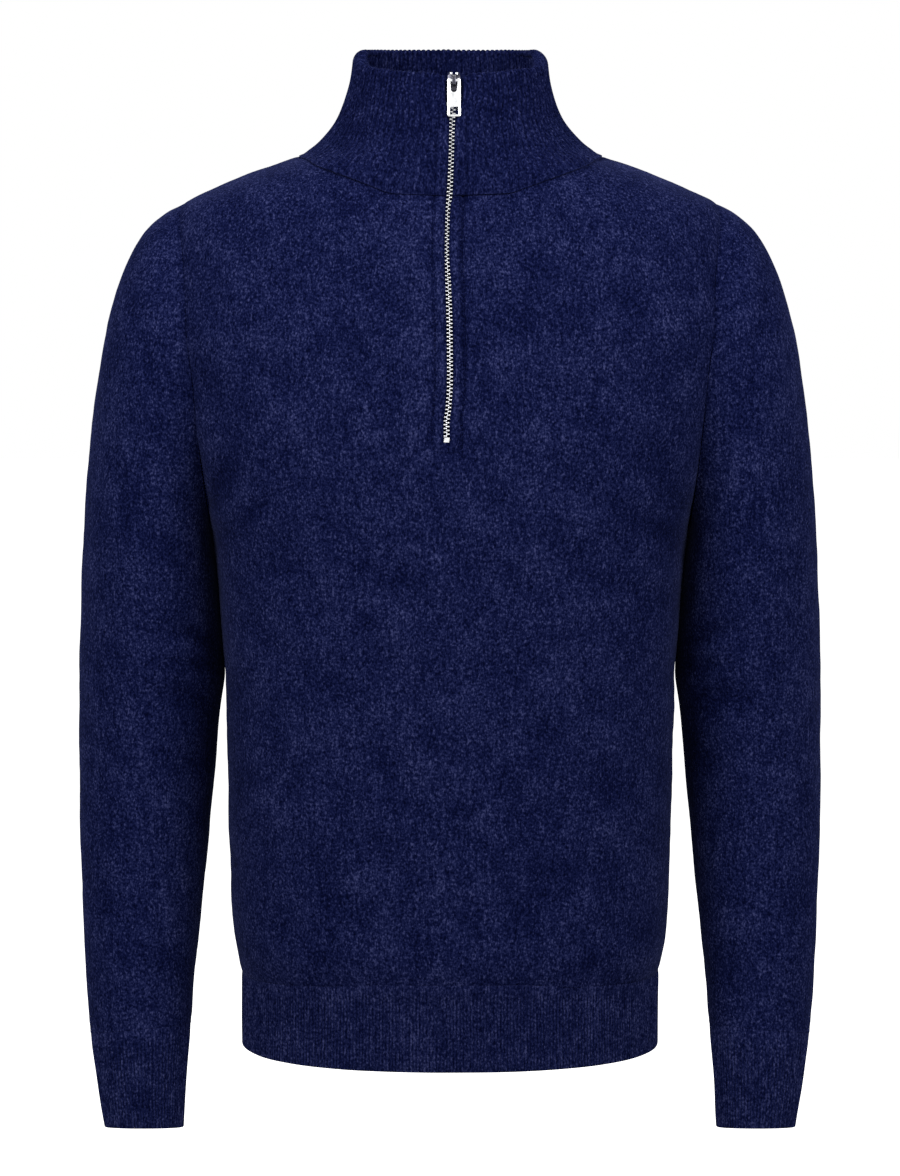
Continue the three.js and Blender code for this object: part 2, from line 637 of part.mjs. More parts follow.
function zipTopStop(side) {
  const edges = [1.2, 3].map((distance) => side * distance);
  return zipStrip({
    across: side > 0 ? edges : edges.reverse(),
    depths: [zipChain.depth, zipChain.depth],
    thickness: zipChain.thickness,
    heights: [zipSlider.pivotHeight + zipSlider.top, zipTapeTongueTop],
  });
}

// Solids for the two cast pieces are joined with manifold-3d.
function solidOf(geometry) {
  const bare = geometry.index ? geometry.toNonIndexed() : geometry.clone();
  bare.deleteAttribute("normal");
  bare.deleteAttribute("uv");
  const merged = mergeVertices(bare, 1e-3);
  const vertProperties = merged.attributes.position.array;
  return new wasm.Manifold(new wasm.Mesh({ numProp: 3, vertProperties, triVerts: new Uint32Array(merged.index.array) }));
}

function geometryFrom(solid) {
  const { vertProperties, triVerts } = solid.getMesh();
  const geometry = new THREE.BufferGeometry();
  geometry.setAttribute("position", new THREE.BufferAttribute(vertProperties, 3));
  geometry.setIndex(new THREE.BufferAttribute(triVerts, 1));
  geometry.computeVertexNormals();
  return geometry;
}

function roundedRectangle(path, left, bottom, right, top, radius) {
  path.moveTo(left + radius, bottom);
  path.lineTo(right - radius, bottom);
  path.absarc(right - radius, bottom + radius, radius, -90 * degrees, 0, false);
  path.absarc(right - radius, top - radius, radius, 0, 90 * degrees, false);
  path.absarc(left + radius, top - radius, radius, 90 * degrees, 180 * degrees, false);
  path.absarc(left + radius, bottom + radius, radius, 180 * degrees, 270 * degrees, false);
  return path;
}

function extruded(shape, from, to, curveSegments = 4) {
  const geometry = new THREE.ExtrudeGeometry(shape, { depth: to - from, bevelEnabled: false, curveSegments });
  return geometry.translate(0, 0, from);
}

// The slider's own axes: X across, Y up the zip, Z out of the cloth, with the pull's pivot above its origin.
// Two plates stand either side of the teeth, a post joins them, lips hold the tapes, and a loop carries the pull.
function zipSliderBody() {
  const { top, bottom, plate, underPlate, overBack } = zipSlider;
  const outline = new THREE.Shape([
    ...ZIP_PLATE.map(({ height, halfWidth }) => new THREE.Vector2(halfWidth, height)),
    ...[...ZIP_PLATE].reverse().map(({ height, halfWidth }) => new THREE.Vector2(-halfWidth, height)),
  ]);
  const lip = (side, from, to) => {
    const [left, right] = side > 0 ? [zipLip.near, zipLip.far] : [-zipLip.far, -zipLip.near];
    const section = roundedRectangle(
      new THREE.Shape(), left, bottom + zipLip.aboveBottom, right, zipLip.top, zipLip.radius);
    return extruded(section, from, to, 1);
  };
  const post = roundedRectangle(
    new THREE.Shape(), -zipPost.halfWidth, zipPost.bottom, zipPost.halfWidth, top - zipPost.belowTop, zipPost.radius);
  const loop = roundedRectangle(
    new THREE.Shape(), -zipLoop.halfLength, underPlate + plate - zipLoop.bite,
    zipLoop.halfLength, zipLoop.top, zipLoop.radius);
  loop.holes.push(roundedRectangle(
    new THREE.Path(), -zipLoopHole.halfLength, zipLoopHole.bottom,
    zipLoopHole.halfLength, zipLoopHole.top, zipLoopHole.radius));
  const standingLoop = extruded(loop, -zipLoop.halfWidth, zipLoop.halfWidth, 4)
    .rotateZ(90 * degrees)
    .rotateY(90 * degrees);
  const pieces = [
    extruded(outline, overBack - plate, overBack),
    extruded(post, overBack - zipPost.bite, underPlate + zipPost.bite),
    standingLoop,
    ...[-1, 1].flatMap((side) => [
      lip(side, underPlate - zipLip.depth, underPlate + zipLip.bite),
      lip(side, overBack - zipLip.bite, overBack + zipLip.backDepth),
    ]),
  ];
  const frontPlate = solidOf(extruded(outline, underPlate, underPlate + plate));
  return geometryFrom(pieces.reduce((sum, piece) => sum.add(solidOf(piece)), frontPlate));
}

// The pull: a flat tab with a slot for the slider's loop, whose top bar is the pivot, and a window at its end.
function zipPullTab() {
  const { thickness, topEnd, bottomEnd, halfWidth } = zipPull;
  const outline = roundedRectangle(new THREE.Shape(), -halfWidth, bottomEnd, halfWidth, topEnd, zipPull.radius);
  const { radius: slotHalfWidth, top: slotTop, bottom: slotBottom, notchHeight } = zipPullSlot;
  const slot = new THREE.Path();
  slot.moveTo(-slotHalfWidth, slotTop);
  slot.lineTo(-slotHalfWidth, slotBottom);
  slot.absarc(0, slotBottom, slotHalfWidth, 180 * degrees, 360 * degrees, false);
  slot.lineTo(slotHalfWidth, slotTop);
  slot.closePath();
  const window = roundedRectangle(
    new THREE.Path(), -zipPullWindow.halfWidth, bottomEnd + zipPullWindow.bottom,
    zipPullWindow.halfWidth, bottomEnd + zipPullWindow.top, zipPullWindow.radius);
  outline.holes.push(slot, window);
  const tab = solidOf(extruded(outline, -thickness / 2, thickness / 2, 5));
  const notch = new THREE.BoxGeometry(2 * slotHalfWidth, notchHeight, thickness + 1).translate(0, topEnd, 0);
  return geometryFrom(tab.subtract(solidOf(notch)));
}

const wool = new THREE.MeshStandardMaterial({ color: 0x1a2050, roughness: 0.95, metalness: 0 });
const ribbedWool = new THREE.MeshStandardMaterial({ color: 0x171c47, roughness: 0.95, metalness: 0 });
const tapeCotton = new THREE.MeshStandardMaterial({ color: 0x10142f, roughness: 0.85, metalness: 0 });
const nickel = new THREE.MeshStandardMaterial({ color: 0xc9ccd0, roughness: 0.28, metalness: 1 });

const sweater = new THREE.Group();

function part(name, geometry, material, parent = sweater) {
  const mesh = new THREE.Mesh(geometry, material);
  mesh.name = name;
  parent.add(mesh);
  return mesh;
}

part("front_body", frontBody(), wool);
part("back_body", backBody(), wool);
part("hem_rib_front", hemRib(0, "front"), ribbedWool);
part("hem_rib_back", hemRib(Math.PI, "back"), ribbedWool);
part("collar", collar(), ribbedWool);
part("zip_teeth", zipTeeth(), nickel);
part("zip_bottom_stop", zipBottomStop(), nickel);
for (const [name, side] of [["left", 1], ["right", -1]]) {
  part(`sleeve_${name}`, sleeve(side), wool);
  part(`cuff_${name}`, cuff(side), ribbedWool);
  part(`zip_tape_${name}`, zipTape(side), tapeCotton);
  part(`zip_top_stop_${name}`, zipTopStop(side), nickel);
}

// The slider and its pull stand on the cloth's face where the collar leans back.
const zipHead = new THREE.Group();
const zipHeadAcross = read(ZIP_LINE, "height", "across", zipSlider.pivotHeight);
const zipHeadAngle = angleAcross(zipSlider.pivotHeight, zipHeadAcross);
const lean = formUpwards(zipHeadAngle, zipSlider.pivotHeight);
zipHead.position.copy(formPoint(zipHeadAngle, zipSlider.pivotHeight));
zipHead.rotation.x = 90 * degrees - Math.atan2(lean.y, lean.z);
sweater.add(zipHead);
part("zip_slider", zipSliderBody(), nickel, zipHead);
part("zip_pull", zipPullTab(), nickel, zipHead).position.z = zipPull.pivotRise;

export default sweater;
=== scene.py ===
# The frame and the camera. The sweater is filled out and open at its neck, hem and cuffs. Its front faces -Y.
# The camera stands three metres off at collar height and looks down at the sweater's middle by six degrees.
import math

import bmesh
import bpy
import numpy as np
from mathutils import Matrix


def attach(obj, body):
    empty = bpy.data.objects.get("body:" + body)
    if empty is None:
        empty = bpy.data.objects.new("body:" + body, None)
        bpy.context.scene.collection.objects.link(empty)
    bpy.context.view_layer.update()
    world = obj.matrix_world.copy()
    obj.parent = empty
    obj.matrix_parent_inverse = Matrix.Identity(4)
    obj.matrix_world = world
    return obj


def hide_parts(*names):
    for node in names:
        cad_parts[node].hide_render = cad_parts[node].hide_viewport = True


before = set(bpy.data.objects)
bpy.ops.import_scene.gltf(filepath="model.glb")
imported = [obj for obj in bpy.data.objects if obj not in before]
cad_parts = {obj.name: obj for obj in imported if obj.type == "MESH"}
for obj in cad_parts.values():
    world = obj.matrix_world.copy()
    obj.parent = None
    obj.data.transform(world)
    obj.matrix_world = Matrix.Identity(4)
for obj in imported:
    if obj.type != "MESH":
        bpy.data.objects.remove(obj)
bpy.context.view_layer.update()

MM = 0.001
VIEW_DISTANCE = 3000
VIEW_PITCH = math.radians(6)
VIEW_MIDDLE = -318.6
SENSOR_WIDTH = 36
FOCAL_LENGTH = 124.1

camera = bpy.data.objects.new("camera", bpy.data.cameras.new("camera"))
bpy.context.scene.collection.objects.link(camera)
camera.data.sensor_width = SENSOR_WIDTH
camera.data.lens = FOCAL_LENGTH
camera.location = (
    0,
    -VIEW_DISTANCE * math.cos(VIEW_PITCH) * MM,
    (VIEW_MIDDLE + VIEW_DISTANCE * math.sin(VIEW_PITCH)) * MM,
)
camera.rotation_euler = (math.pi / 2 - VIEW_PITCH, 0, 0)
bpy.context.scene.camera = camera


# The studio. A plain white floor and a white room that lights the sweater dimly from all round. Two soft
# lamps high in front light its shoulders and chest more than its hem, and one behind lights its back and the
# inside of its collar.
FLOOR_HEIGHT = -1100
FLOOR_HALF_WIDTH = 12000
FLOOR_SHADE = 0.92
FLOOR_GLOW = 0.6
WHITE = (1, 1, 1, 1)
ROOM_STRENGTH = {"lighting": 0.56, "seen": 1.0}
LAMPS = [
    {"name": "soft_lamp_left", "place": (-1.15, -1.25, 0.9), "size": 1.0, "power": 33},
    {"name": "soft_lamp_right", "place": (1.15, -1.25, 0.9), "size": 1.0, "power": 30.5},
    {"name": "soft_lamp_behind", "place": (0, 1.9, 1.4), "size": 1.5, "power": 32},
]

world = bpy.data.worlds.new("white_room")
world.use_nodes = True
room_nodes, room_links = world.node_tree.nodes, world.node_tree.links
room_nodes["Background"].inputs["Color"].default_value = WHITE
ray = room_nodes.new("ShaderNodeLightPath")
seen = room_nodes.new("ShaderNodeMath")
seen.operation = "MAXIMUM"
room_links.new(ray.outputs["Is Camera Ray"], seen.inputs[0])
room_links.new(ray.outputs["Is Glossy Ray"], seen.inputs[1])
strength = room_nodes.new("ShaderNodeMapRange")
strength.inputs["To Min"].default_value = ROOM_STRENGTH["lighting"]
strength.inputs["To Max"].default_value = ROOM_STRENGTH["seen"]
room_links.new(seen.outputs[0], strength.inputs["Value"])
room_links.new(strength.outputs[0], room_nodes["Background"].inputs["Strength"])
bpy.context.scene.world = world
bpy.context.scene.view_settings.view_transform = "Standard"

for lamp in LAMPS:
    light = bpy.data.objects.new(lamp["name"], bpy.data.lights.new(lamp["name"], "AREA"))
    light.data.size = lamp["size"]
    light.data.energy = lamp["power"]
    light.location = lamp["place"]
    aim = np.array([0, 0, VIEW_MIDDLE * MM]) - np.array(lamp["place"])
    level = math.hypot(aim[0], aim[1])
    light.rotation_euler = (math.atan2(level, -aim[2]), 0, math.atan2(-aim[0], aim[1]))
    bpy.context.scene.collection.objects.link(light)

floor_mesh = bpy.data.meshes.new("floor")
floor_corners = [(-1, -1), (1, -1), (1, 1), (-1, 1)]
floor_reach = FLOOR_HALF_WIDTH * MM
floor_points = [(x * floor_reach, y * floor_reach, FLOOR_HEIGHT * MM) for x, y in floor_corners]
floor_mesh.from_pydata(floor_points, [], [(0, 1, 2, 3)])
floor = bpy.data.objects.new("floor", floor_mesh)
bpy.context.scene.collection.objects.link(floor)
white_paint = bpy.data.materials.new("white_floor_paint")
white_paint.use_nodes = True
white_shader = white_paint.node_tree.nodes["Principled BSDF"]
white_shader.inputs["Base Color"].default_value = (FLOOR_SHADE, FLOOR_SHADE, FLOOR_SHADE, 1)
white_shader.inputs["Roughness"].default_value = 1.0
white_shader.inputs["Emission Color"].default_value = WHITE
white_shader.inputs["Emission Strength"].default_value = FLOOR_GLOW
floor_mesh.materials.append(white_paint)
floor.visible_diffuse = False
floor.visible_shadow = False


# The front and back of the body. Each is a panel of lambswool jersey, knitted to shape, milled and brushed
# until its stitches felt together. The front is open down its middle for the zip, and its raw edges are
# turned under.
CLOTH = 2.4
# Painted shade: how deep the cloth lies darkens the wool's colour, fully at this depth, and paints it paler
# where it stands out.
SHADE_FULL_DEPTH = 1.6
PAINTED_SHADE_LEAST, PAINTED_SHADE_MOST = -0.6, 1
# Inside each seam the pieces' edges pass each other by this much, so that no light shows through.
SEAM_LAP = 0.25
ANGLE_STEP, HEIGHT_STEP = 0.002, 0.5
RIPPLE_WAVES = 7
SHARP_EDGE = math.radians(75)
ARMHOLE = {"top": -35.5, "bottom": -275, "half_depth": 60}
SLIT_BOTTOM = -203.1
FRONT_TIP_CENTRE = -70.9
BACK_TIP_CENTRE = -50
HEM_SEAM = {"side": -604, "front": -595, "back": -598}


def table(columns, rows):
    """One array for each named column of a short table."""
    return dict(zip(columns.split(), np.array(rows, float).T))


# The body's rings: half their width, and how far front and back stand from the middle.
FORM = table(
    "height half_width front back squareness",
    [
        (-659, 154.8, 111.0, 109.0, 2.3),
        (-608, 154.8, 110.0, 107.5, 2.3),
        (-597, 156.6, 111.4, 109.0, 2.35),
        (-574, 161.0, 113.8, 109.5, 2.4),
        (-545, 162.8, 113.8, 107.5, 2.4),
        (-460, 164.8, 113.2, 103.0, 2.45),
        (-374, 166.4, 115.0, 105.0, 2.5),
        (-345, 168.4, 116.4, 107.5, 2.5),
        (-304, 171.3, 118.0, 110.5, 2.5),
        (-275, 175.0, 119.0, 113.0, 2.5),
        (-259, 179.4, 119.3, 114.5, 2.5),
        (-207, 193.8, 118.8, 118.5, 2.5),
        (-163, 204.0, 115.6, 119.0, 2.45),
        (-123, 210.5, 110.8, 117.0, 2.4),
        (-90, 210.0, 104.8, 113.0, 2.3),
        (-60, 206.5, 97.6, 106.0, 2.2),
        (-45, 201.5, 93.4, 101.0, 2.15),
        (-35.5, 194.6, 90.5, 97.5, 2.12),
        (-24.5, 173.6, 87.6, 91.5, 2.08),
        (-9.5, 136.2, 83.8, 83.0, 2.03),
        (-2.3, 115.6, 82.0, 78.5, 2),
        (1, 104.6, 81.1, 76.2, 2),
        (10.5, 92.2, 78.5, 70.4, 2),
        (25.5, 80.4, 74.6, 64.4, 2),
        (41, 74.2, 70.7, 61.2, 2),
        (56, 70.4, 66.7, 60.0, 2),
        (73, 68.4, 62.3, 59.5, 2),
    ],
)

# The neck's seam, by the angle from the front's or the back's centre.
NECK_SEAM = table(
    "angle front back",
    [
        (0, -28.5, 8),
        (25, -27, 7.6),
        (34, -22.2, 7.2),
        (42, -17.2, 6.6),
        (60, -7.4, 4.8),
        (70, -3, 2.8),
        (90, 0, 0),
    ],
)

# The zip's line, and how far the cloth's edge stands from it on either side.
ZIP_LINE = table(
    "height across half_gap",
    [
        (-210, -2.3, 2.1),
        (-199, -2.3, 2.1),
        (-189, -2.5, 2.1),
        (-179, -1.2, 2.1),
        (-158, 0, 2.2),
        (-116, -0.4, 2.2),
        (-95, -1.1, 2.0),
        (-66, -2.2, 1.4),
        (-38, -1.5, 1.5),
        (-28, -0.4, 2.1),
        (-4, 0.8, 1.8),
        (28, 1.8, 2.2),
        (42, 2.8, 5.4),
        (66, 2.9, 5.4),
    ],
)


def read(rows, column, at):
    """The column's value at places along the first column: a smooth curve that overshoots no row."""
    places, values = next(iter(rows.values())), rows[column]
    at = np.clip(at, places[0], places[-1])
    slopes = np.diff(values) / np.diff(places)
    products = slopes[:-1] * slopes[1:]
    sums = np.where(products > 0, slopes[:-1] + slopes[1:], 1)
    bends = np.where(products > 0, 2 * products / sums, 0)
    tangents = np.concatenate([slopes[:1], bends, slopes[-1:]])
    row = np.clip(np.searchsorted(places, at, side="right") - 1, 0, len(places) - 2)
    span = places[row + 1] - places[row]
    t = (at - places[row]) / span
    low = values[row] * (1 + 2 * t) * (1 - t) ** 2 + tangents[row] * span * t * (1 - t) ** 2
    return low + values[row + 1] * t * t * (3 - 2 * t) - tangents[row + 1] * span * t * t * (1 - t)


def ring_at(height, forward):
    """Half width, depth and squareness of the body's ring at a height, for its front or its back half."""
    depth = np.where(forward, read(FORM, "front", height), read(FORM, "back", height))
    return read(FORM, "half_width", height), depth, read(FORM, "squareness", height)


def form_point(angle, height):
    """A ring is |x / width|^n + |y / depth|^n = 1, and the angle turns from the front's centre towards +X."""
    angle, height = np.broadcast_arrays(angle, height)
    width, depth, power = ring_at(height, np.cos(angle) >= 0)
    across = np.abs(np.sin(angle) / width) ** power
    along = np.abs(np.cos(angle) / depth) ** power
    radius = (across + along) ** (-1 / power)
    return np.stack([radius * np.sin(angle), -radius * np.cos(angle), height], axis=-1)


def unit(vectors):
    """The same directions at length one."""
    return vectors / np.linalg.norm(vectors, axis=-1, keepdims=True)


def form_normal(angle, height):
    """The form's outward direction, from the cross product of its two tangents."""
    across = form_point(angle + ANGLE_STEP, height) - form_point(angle - ANGLE_STEP, height)
    upwards = form_point(angle, height + HEIGHT_STEP) - form_point(angle, height - HEIGHT_STEP)
    return unit(np.cross(across, upwards))


def angle_at_depth(height, forward):
    """The angle at which a ring stands that far forward of the middle, or behind it where it is negative."""
    width, depth, power = ring_at(height, forward >= 0)
    across = width * (1 - np.minimum(np.abs(forward) / depth, 1) ** power) ** (1 / power)
    return np.arctan2(across, forward)


def angle_across(height, across):
    """The angle at which a ring's front lies that far across from the middle."""
    width, depth, power = ring_at(height, np.full(np.shape(height), True))
    return np.arctan2(across, depth * (1 - (np.abs(across) / width) ** power) ** (1 / power))


def armhole_on_form(turn, inset=0):
    """Angle and height of the armhole, an oval in side view. Turn is 0 on top and a right angle in front."""
    middle = (ARMHOLE["top"] + ARMHOLE["bottom"]) / 2
    half_height = (ARMHOLE["top"] - ARMHOLE["bottom"]) / 2 - inset
    height = middle + half_height * np.cos(turn)
    return angle_at_depth(height, (ARMHOLE["half_depth"] - inset) * np.sin(turn)), height


def panel_rows(face, body_rows, armhole_rows, shoulder_rows):
    """Side height, centre height and armhole turn of every row, from the hem's seam to the neck's."""
    tip = FRONT_TIP_CENTRE if face == "front" else BACK_TIP_CENTRE
    share = np.arange(body_rows) / body_rows
    side = [HEM_SEAM["side"] + share * (ARMHOLE["bottom"] - HEM_SEAM["side"])]
    centre = [HEM_SEAM[face] + share * (ARMHOLE["bottom"] - HEM_SEAM[face])]
    turn = math.pi * (1 - np.arange(armhole_rows) / armhole_rows)
    # The rows next to the armhole's top and bottom would crowd together, so three are left out at each.
    turn = np.delete(turn, [1, 2, 3, -1, -2, -3])
    risen = (1 + np.cos(turn)) / 2
    side.append(armhole_on_form(turn)[1])
    centre.append(ARMHOLE["bottom"] + risen * (tip - ARMHOLE["bottom"]))
    share = np.arange(shoulder_rows + 1) / shoulder_rows
    side.append(ARMHOLE["top"] * (1 - share))
    centre.append(tip + share * (NECK_SEAM[face][0] - tip))
    turns = np.concatenate([np.full(body_rows, math.pi), turn, np.zeros(shoulder_rows + 1)])
    return np.concatenate(side), np.concatenate(centre), turns


def side_angle(side, turn, face):
    """The angle from the panel's centre to its side edge: side seam, armhole or shoulder seam."""
    seam = math.pi / 2 + SEAM_LAP / 2 / read(FORM, "half_width", side)
    forward = ARMHOLE["half_depth"] * np.sin(turn) * (1 if face == "front" else -1)
    at_armhole = angle_at_depth(side, forward)
    at_armhole = at_armhole if face == "front" else math.pi - at_armhole
    on_armhole = (turn > 0) & (turn < math.pi)
    return np.where(on_armhole, np.minimum(seam, at_armhole), seam)


def neck_rise(angle, face):
    """The share of its rise that the neck's seam has made: 0 at the panel's centre, 1 at the shoulder."""
    start = NECK_SEAM[face][0]
    return (read(NECK_SEAM, face, np.degrees(angle)) - start) / -start


def row_height(side, centre, angle, end, face):
    """A row rises from its centre to its side as the neck's seam does."""
    return centre + (side - centre) * neck_rise(angle, face) / neck_rise(end, face)


def slit_angle(height, side):
    """The angle of the slit's edge, at the zip's line plus or minus its half gap."""
    across = read(ZIP_LINE, "across", height)
    return angle_across(height, across + side * read(ZIP_LINE, "half_gap", height))


def front_grid(columns, rows):
    """Angles and heights of the front, whose columns stand closer together beside the zip."""
    side, centre, turn = (values[:, None] for values in rows)
    step = np.arange(columns + 1) / columns
    share = 0.42 * step + 0.58 * step**2
    end = side_angle(side, turn, "front")
    halves = []
    for sign, order in ((-1, share[::-1]), (1, share)):
        edge = slit_angle(centre, sign)
        angle = edge + order[None] * (sign * end - edge)
        halves.append((angle, row_height(side, centre, np.abs(angle), end, "front")))
    return np.hstack([half[0] for half in halves]), np.hstack([half[1] for half in halves])


def back_grid(columns, rows):
    """Angles and heights of the back, at equal shares from side to side."""
    side, centre, turn = (values[:, None] for values in rows)
    share = 2 * np.arange(columns + 1) / columns - 1
    end = side_angle(side, turn, "back")
    angle = share[None] * end
    return math.pi + angle, row_height(side, centre, np.abs(angle), end, "back")


def grid_normals(points, closed=False):
    """Outward directions of a grid of points, from the differences of its neighbours both ways."""
    if closed:
        across = np.roll(points, -1, axis=1) - np.roll(points, 1, axis=1)
    else:
        across = np.gradient(points, axis=1)
    return unit(np.cross(across, np.gradient(points, axis=0)))


def run_along(points, axis):
    """The distance along the grid from its first row or column to each point."""
    steps = np.linalg.norm(np.diff(points, axis=axis), axis=-1)
    start = np.zeros_like(np.take(steps, [0], axis=axis))
    return np.concatenate([start, np.cumsum(steps, axis=axis)], axis=axis)


def bell(distance, reach):
    """1 at no distance, about a third at the reach, almost 0 at twice the reach: e to the minus square."""
    return np.exp(-((distance / reach) ** 2))


def ripple(across, along, seed, size, height):
    """Gentle unevenness of the cloth: the mean of slanting waves of about one size, each with its heading."""
    rng = np.random.default_rng(seed)
    total = np.zeros_like(across)
    for _ in range(RIPPLE_WAVES):
        heading = rng.uniform(0, 2 * math.pi)
        length = size * rng.uniform(0.7, 1.5)
        phase = rng.uniform(0, 2 * math.pi)
        run = across * math.cos(heading) + along * math.sin(heading)
        total += np.sin(run * 2 * math.pi / length + phase)
    return height * total / RIPPLE_WAVES


def long_bell(lengthwise, crosswise, crease):
    """One crease: its rise times a bell both ways, round a line that bows with the square of its length."""
    share = lengthwise / crease["length"]
    off_line = crosswise - crease["bow"] * share**2
    return crease["rise"] * np.exp(-(share**2) - (off_line / crease["width"]) ** 2)


def creased(across, along, creases):
    """The sum of soft ridges, and of troughs where the rise is negative, each with its heading in degrees."""
    total = np.zeros_like(across)
    for row in zip(*creases.values()):
        crease = dict(zip(creases, row))
        heading = math.radians(crease["heading"])
        x, y = across - crease["across"], along - crease["along"]
        lengthwise = x * math.cos(heading) + y * math.sin(heading)
        total += long_bell(lengthwise, y * math.cos(heading) - x * math.sin(heading), crease)
    return total


def into_mesh(name, points, *face_lists):
    """A mesh in metres from points in millimetres. Its faces are turned if they enclose less than nothing."""
    volume = 0
    for faces in face_lists:
        for k in range(1, faces.shape[1] - 1):
            volume += np.sum(points[faces[:, 0]] * np.cross(points[faces[:, k]], points[faces[:, k + 1]]))
    turned = [faces if volume > 0 else faces[:, ::-1] for faces in face_lists]
    mesh = bpy.data.meshes.new(name)
    mesh.from_pydata((points * MM).tolist(), [], [face for faces in turned for face in faces.tolist()])
    mesh.shade_smooth()
    mesh.set_sharp_from_angle(angle=SHARP_EDGE)
    piece = bpy.data.objects.new(name, mesh)
    bpy.context.scene.collection.objects.link(piece)
    return piece


def paint_shade_by_depth(piece, sunk):
    """Keeps how deep each point lies, as painted shade: darker wool in furrows, paler on top."""
    depths = np.clip(sunk, PAINTED_SHADE_LEAST, PAINTED_SHADE_MOST).astype(np.float32).reshape(-1)
    piece.data.attributes.new("sunk", "FLOAT", "POINT").data.foreach_set("value", depths)


def panel(name, outer, inner, kept, lift):
    """A panel of cloth: a grid of faces outside, another inside, and a rim where a cell has no neighbour."""
    rows, columns = kept.shape
    number = np.arange((rows + 1) * (columns + 1)).reshape(rows + 1, columns + 1)
    inside = number + number.size
    i, j = np.nonzero(kept)
    ring = [(i, j), (i, j + 1), (i + 1, j + 1), (i + 1, j)]
    near = np.pad(kept, 1)
    below, above = near[i, j + 1], near[i + 2, j + 1]
    before, after = near[i + 1, j], near[i + 1, j + 2]
    sides = [(below, 1, 0), (above, 3, 2), (before, 0, 3), (after, 2, 1)]
    faces = [[number[place] for place in ring], [inside[place] for place in ring[::-1]]]
    for taken, first, second in sides:
        start = tuple(k[~taken] for k in ring[first])
        end = tuple(k[~taken] for k in ring[second])
        faces.append([number[start], number[end], inside[end], inside[start]])
    faces = np.concatenate([np.stack(face, axis=1) for face in faces])
    points = np.concatenate([outer.reshape(-1, 3), inner.reshape(-1, 3)])
    used, faces = np.unique(faces, return_inverse=True)
    piece = into_mesh(name, points[used], faces.reshape(-1, 4))
    # The panel's dips and rises are kept as painted shade in the wool's colour.
    paint_shade_by_depth(piece, (np.concatenate([lift, lift]).reshape(-1)[used]) / -SHADE_FULL_DEPTH)
    return piece


class Wire:
    """A socket of a finish, on which sums are written as they are on numbers."""

    def __init__(self, finish, socket):
        self.finish = finish
        self.socket = socket

    def maths(self, operation, *values):
        return self.finish.node("ShaderNodeMath", {"operation": operation}, dict(enumerate(values)))

    def __add__(self, other):
        return self.maths("ADD", self, other)

    def __sub__(self, other):
        return self.maths("SUBTRACT", self, other)

    def __rsub__(self, other):
        return self.maths("SUBTRACT", other, self)

    def __mul__(self, other):
        return self.maths("MULTIPLY", self, other)

    __radd__ = __add__
    __rmul__ = __mul__


class Finish:
    """A material. node() adds any node to it, and feed() leads a wire to its shader."""

    def __init__(self, name, uniform):
        self.material = bpy.data.materials.new(name)
        self.material.use_nodes = True
        self.tree = self.material.node_tree
        self.shader = self.tree.nodes["Principled BSDF"]
        for socket, value in uniform.items():
            self.shader.inputs[socket].default_value = value

    def node(self, kind, settings, sockets, output=0):
        made = self.tree.nodes.new(kind)
        for setting, value in settings.items():
            if setting == "stops":
                self.set_stops(made.color_ramp, value)
            else:
                setattr(made, setting, value)
        for socket, value in sockets.items():
            if isinstance(value, Wire):
                self.tree.links.new(value.socket, made.inputs[socket])
            else:
                made.inputs[socket].default_value = value
        return Wire(self, made.outputs[output])

    def set_stops(self, ramp, stops):
        while len(ramp.elements) < len(stops):
            ramp.elements.new(1)
        for element, (position, colour) in zip(ramp.elements, stops):
            element.position = position
            element.color = (*colour, 1)

    def feed(self, socket, wire):
        self.tree.links.new(wire.socket, self.shader.inputs[socket])

    def noise(self, place, scale, detail, roughness=0.5, stretch=(1, 1, 1)):
        """Cloudy noise whose grains are about 1 / scale metres across, drawn out where stretch is under 1."""
        drawn_out = self.node("ShaderNodeMapping", {}, {"Vector": place, "Scale": stretch})
        sockets = {"Vector": drawn_out, "Scale": scale, "Detail": detail, "Roughness": roughness}
        return self.node("ShaderNodeTexNoise", {}, sockets)

    def coloured(self, shades, wire):
        """The colour runs through the shades as the wire rises."""
        self.feed("Base Color", self.node("ShaderNodeValToRGB", {"stops": shades}, {0: wire}))

    def raised(self, relief, strength, distance):
        """The surface stands out, up to that distance in metres, where the relief is high."""
        sockets = {"Strength": strength, "Distance": distance, "Height": relief}
        self.feed("Normal", self.node("ShaderNodeBump", {}, sockets))


def felted_wool(name, shades, wale, wale_share):
    """Brushed lambswool: fibre in five shades mixed in grains, faint lengthwise wales and wide clouds."""
    sheen = {"Sheen Weight": 0.05, "Sheen Roughness": 0.4, "Sheen Tint": (0.36, 0.42, 0.9, 1)}
    wool = Finish(name, {"Roughness": 0.95, "Specular IOR Level": 0.0} | sheen)
    place = wool.node("ShaderNodeTexCoord", {}, {}, "Object")
    grains = wool.noise(place, 560, 2.0, 0.6)
    hairs = wool.noise(place, 980, 1.0, 0.5, (1, 1, 0.5))
    wales = wool.noise(place, 1000 / wale, 1.0, 0.5, (1, 1, 0.2))
    clouds = wool.noise(place, 42, 2.0, 0.55)
    # Painted shade: the sunk attribute darkens the wool in furrows, seams and creases, and paints it paler
    # where it stands out.
    sunk = wool.node("ShaderNodeAttribute", {"attribute_name": "sunk"}, {}, "Fac")
    depth = grains * (0.55 - wale_share) + hairs * 0.33 + wales * wale_share + clouds * 0.12 - sunk * 0.045
    wool.coloured(shades, depth)
    wool.raised(grains * 0.5 + hairs * 0.25 + wales * (0.2 + wale_share), 0.6, 0.0012)
    return wool.material


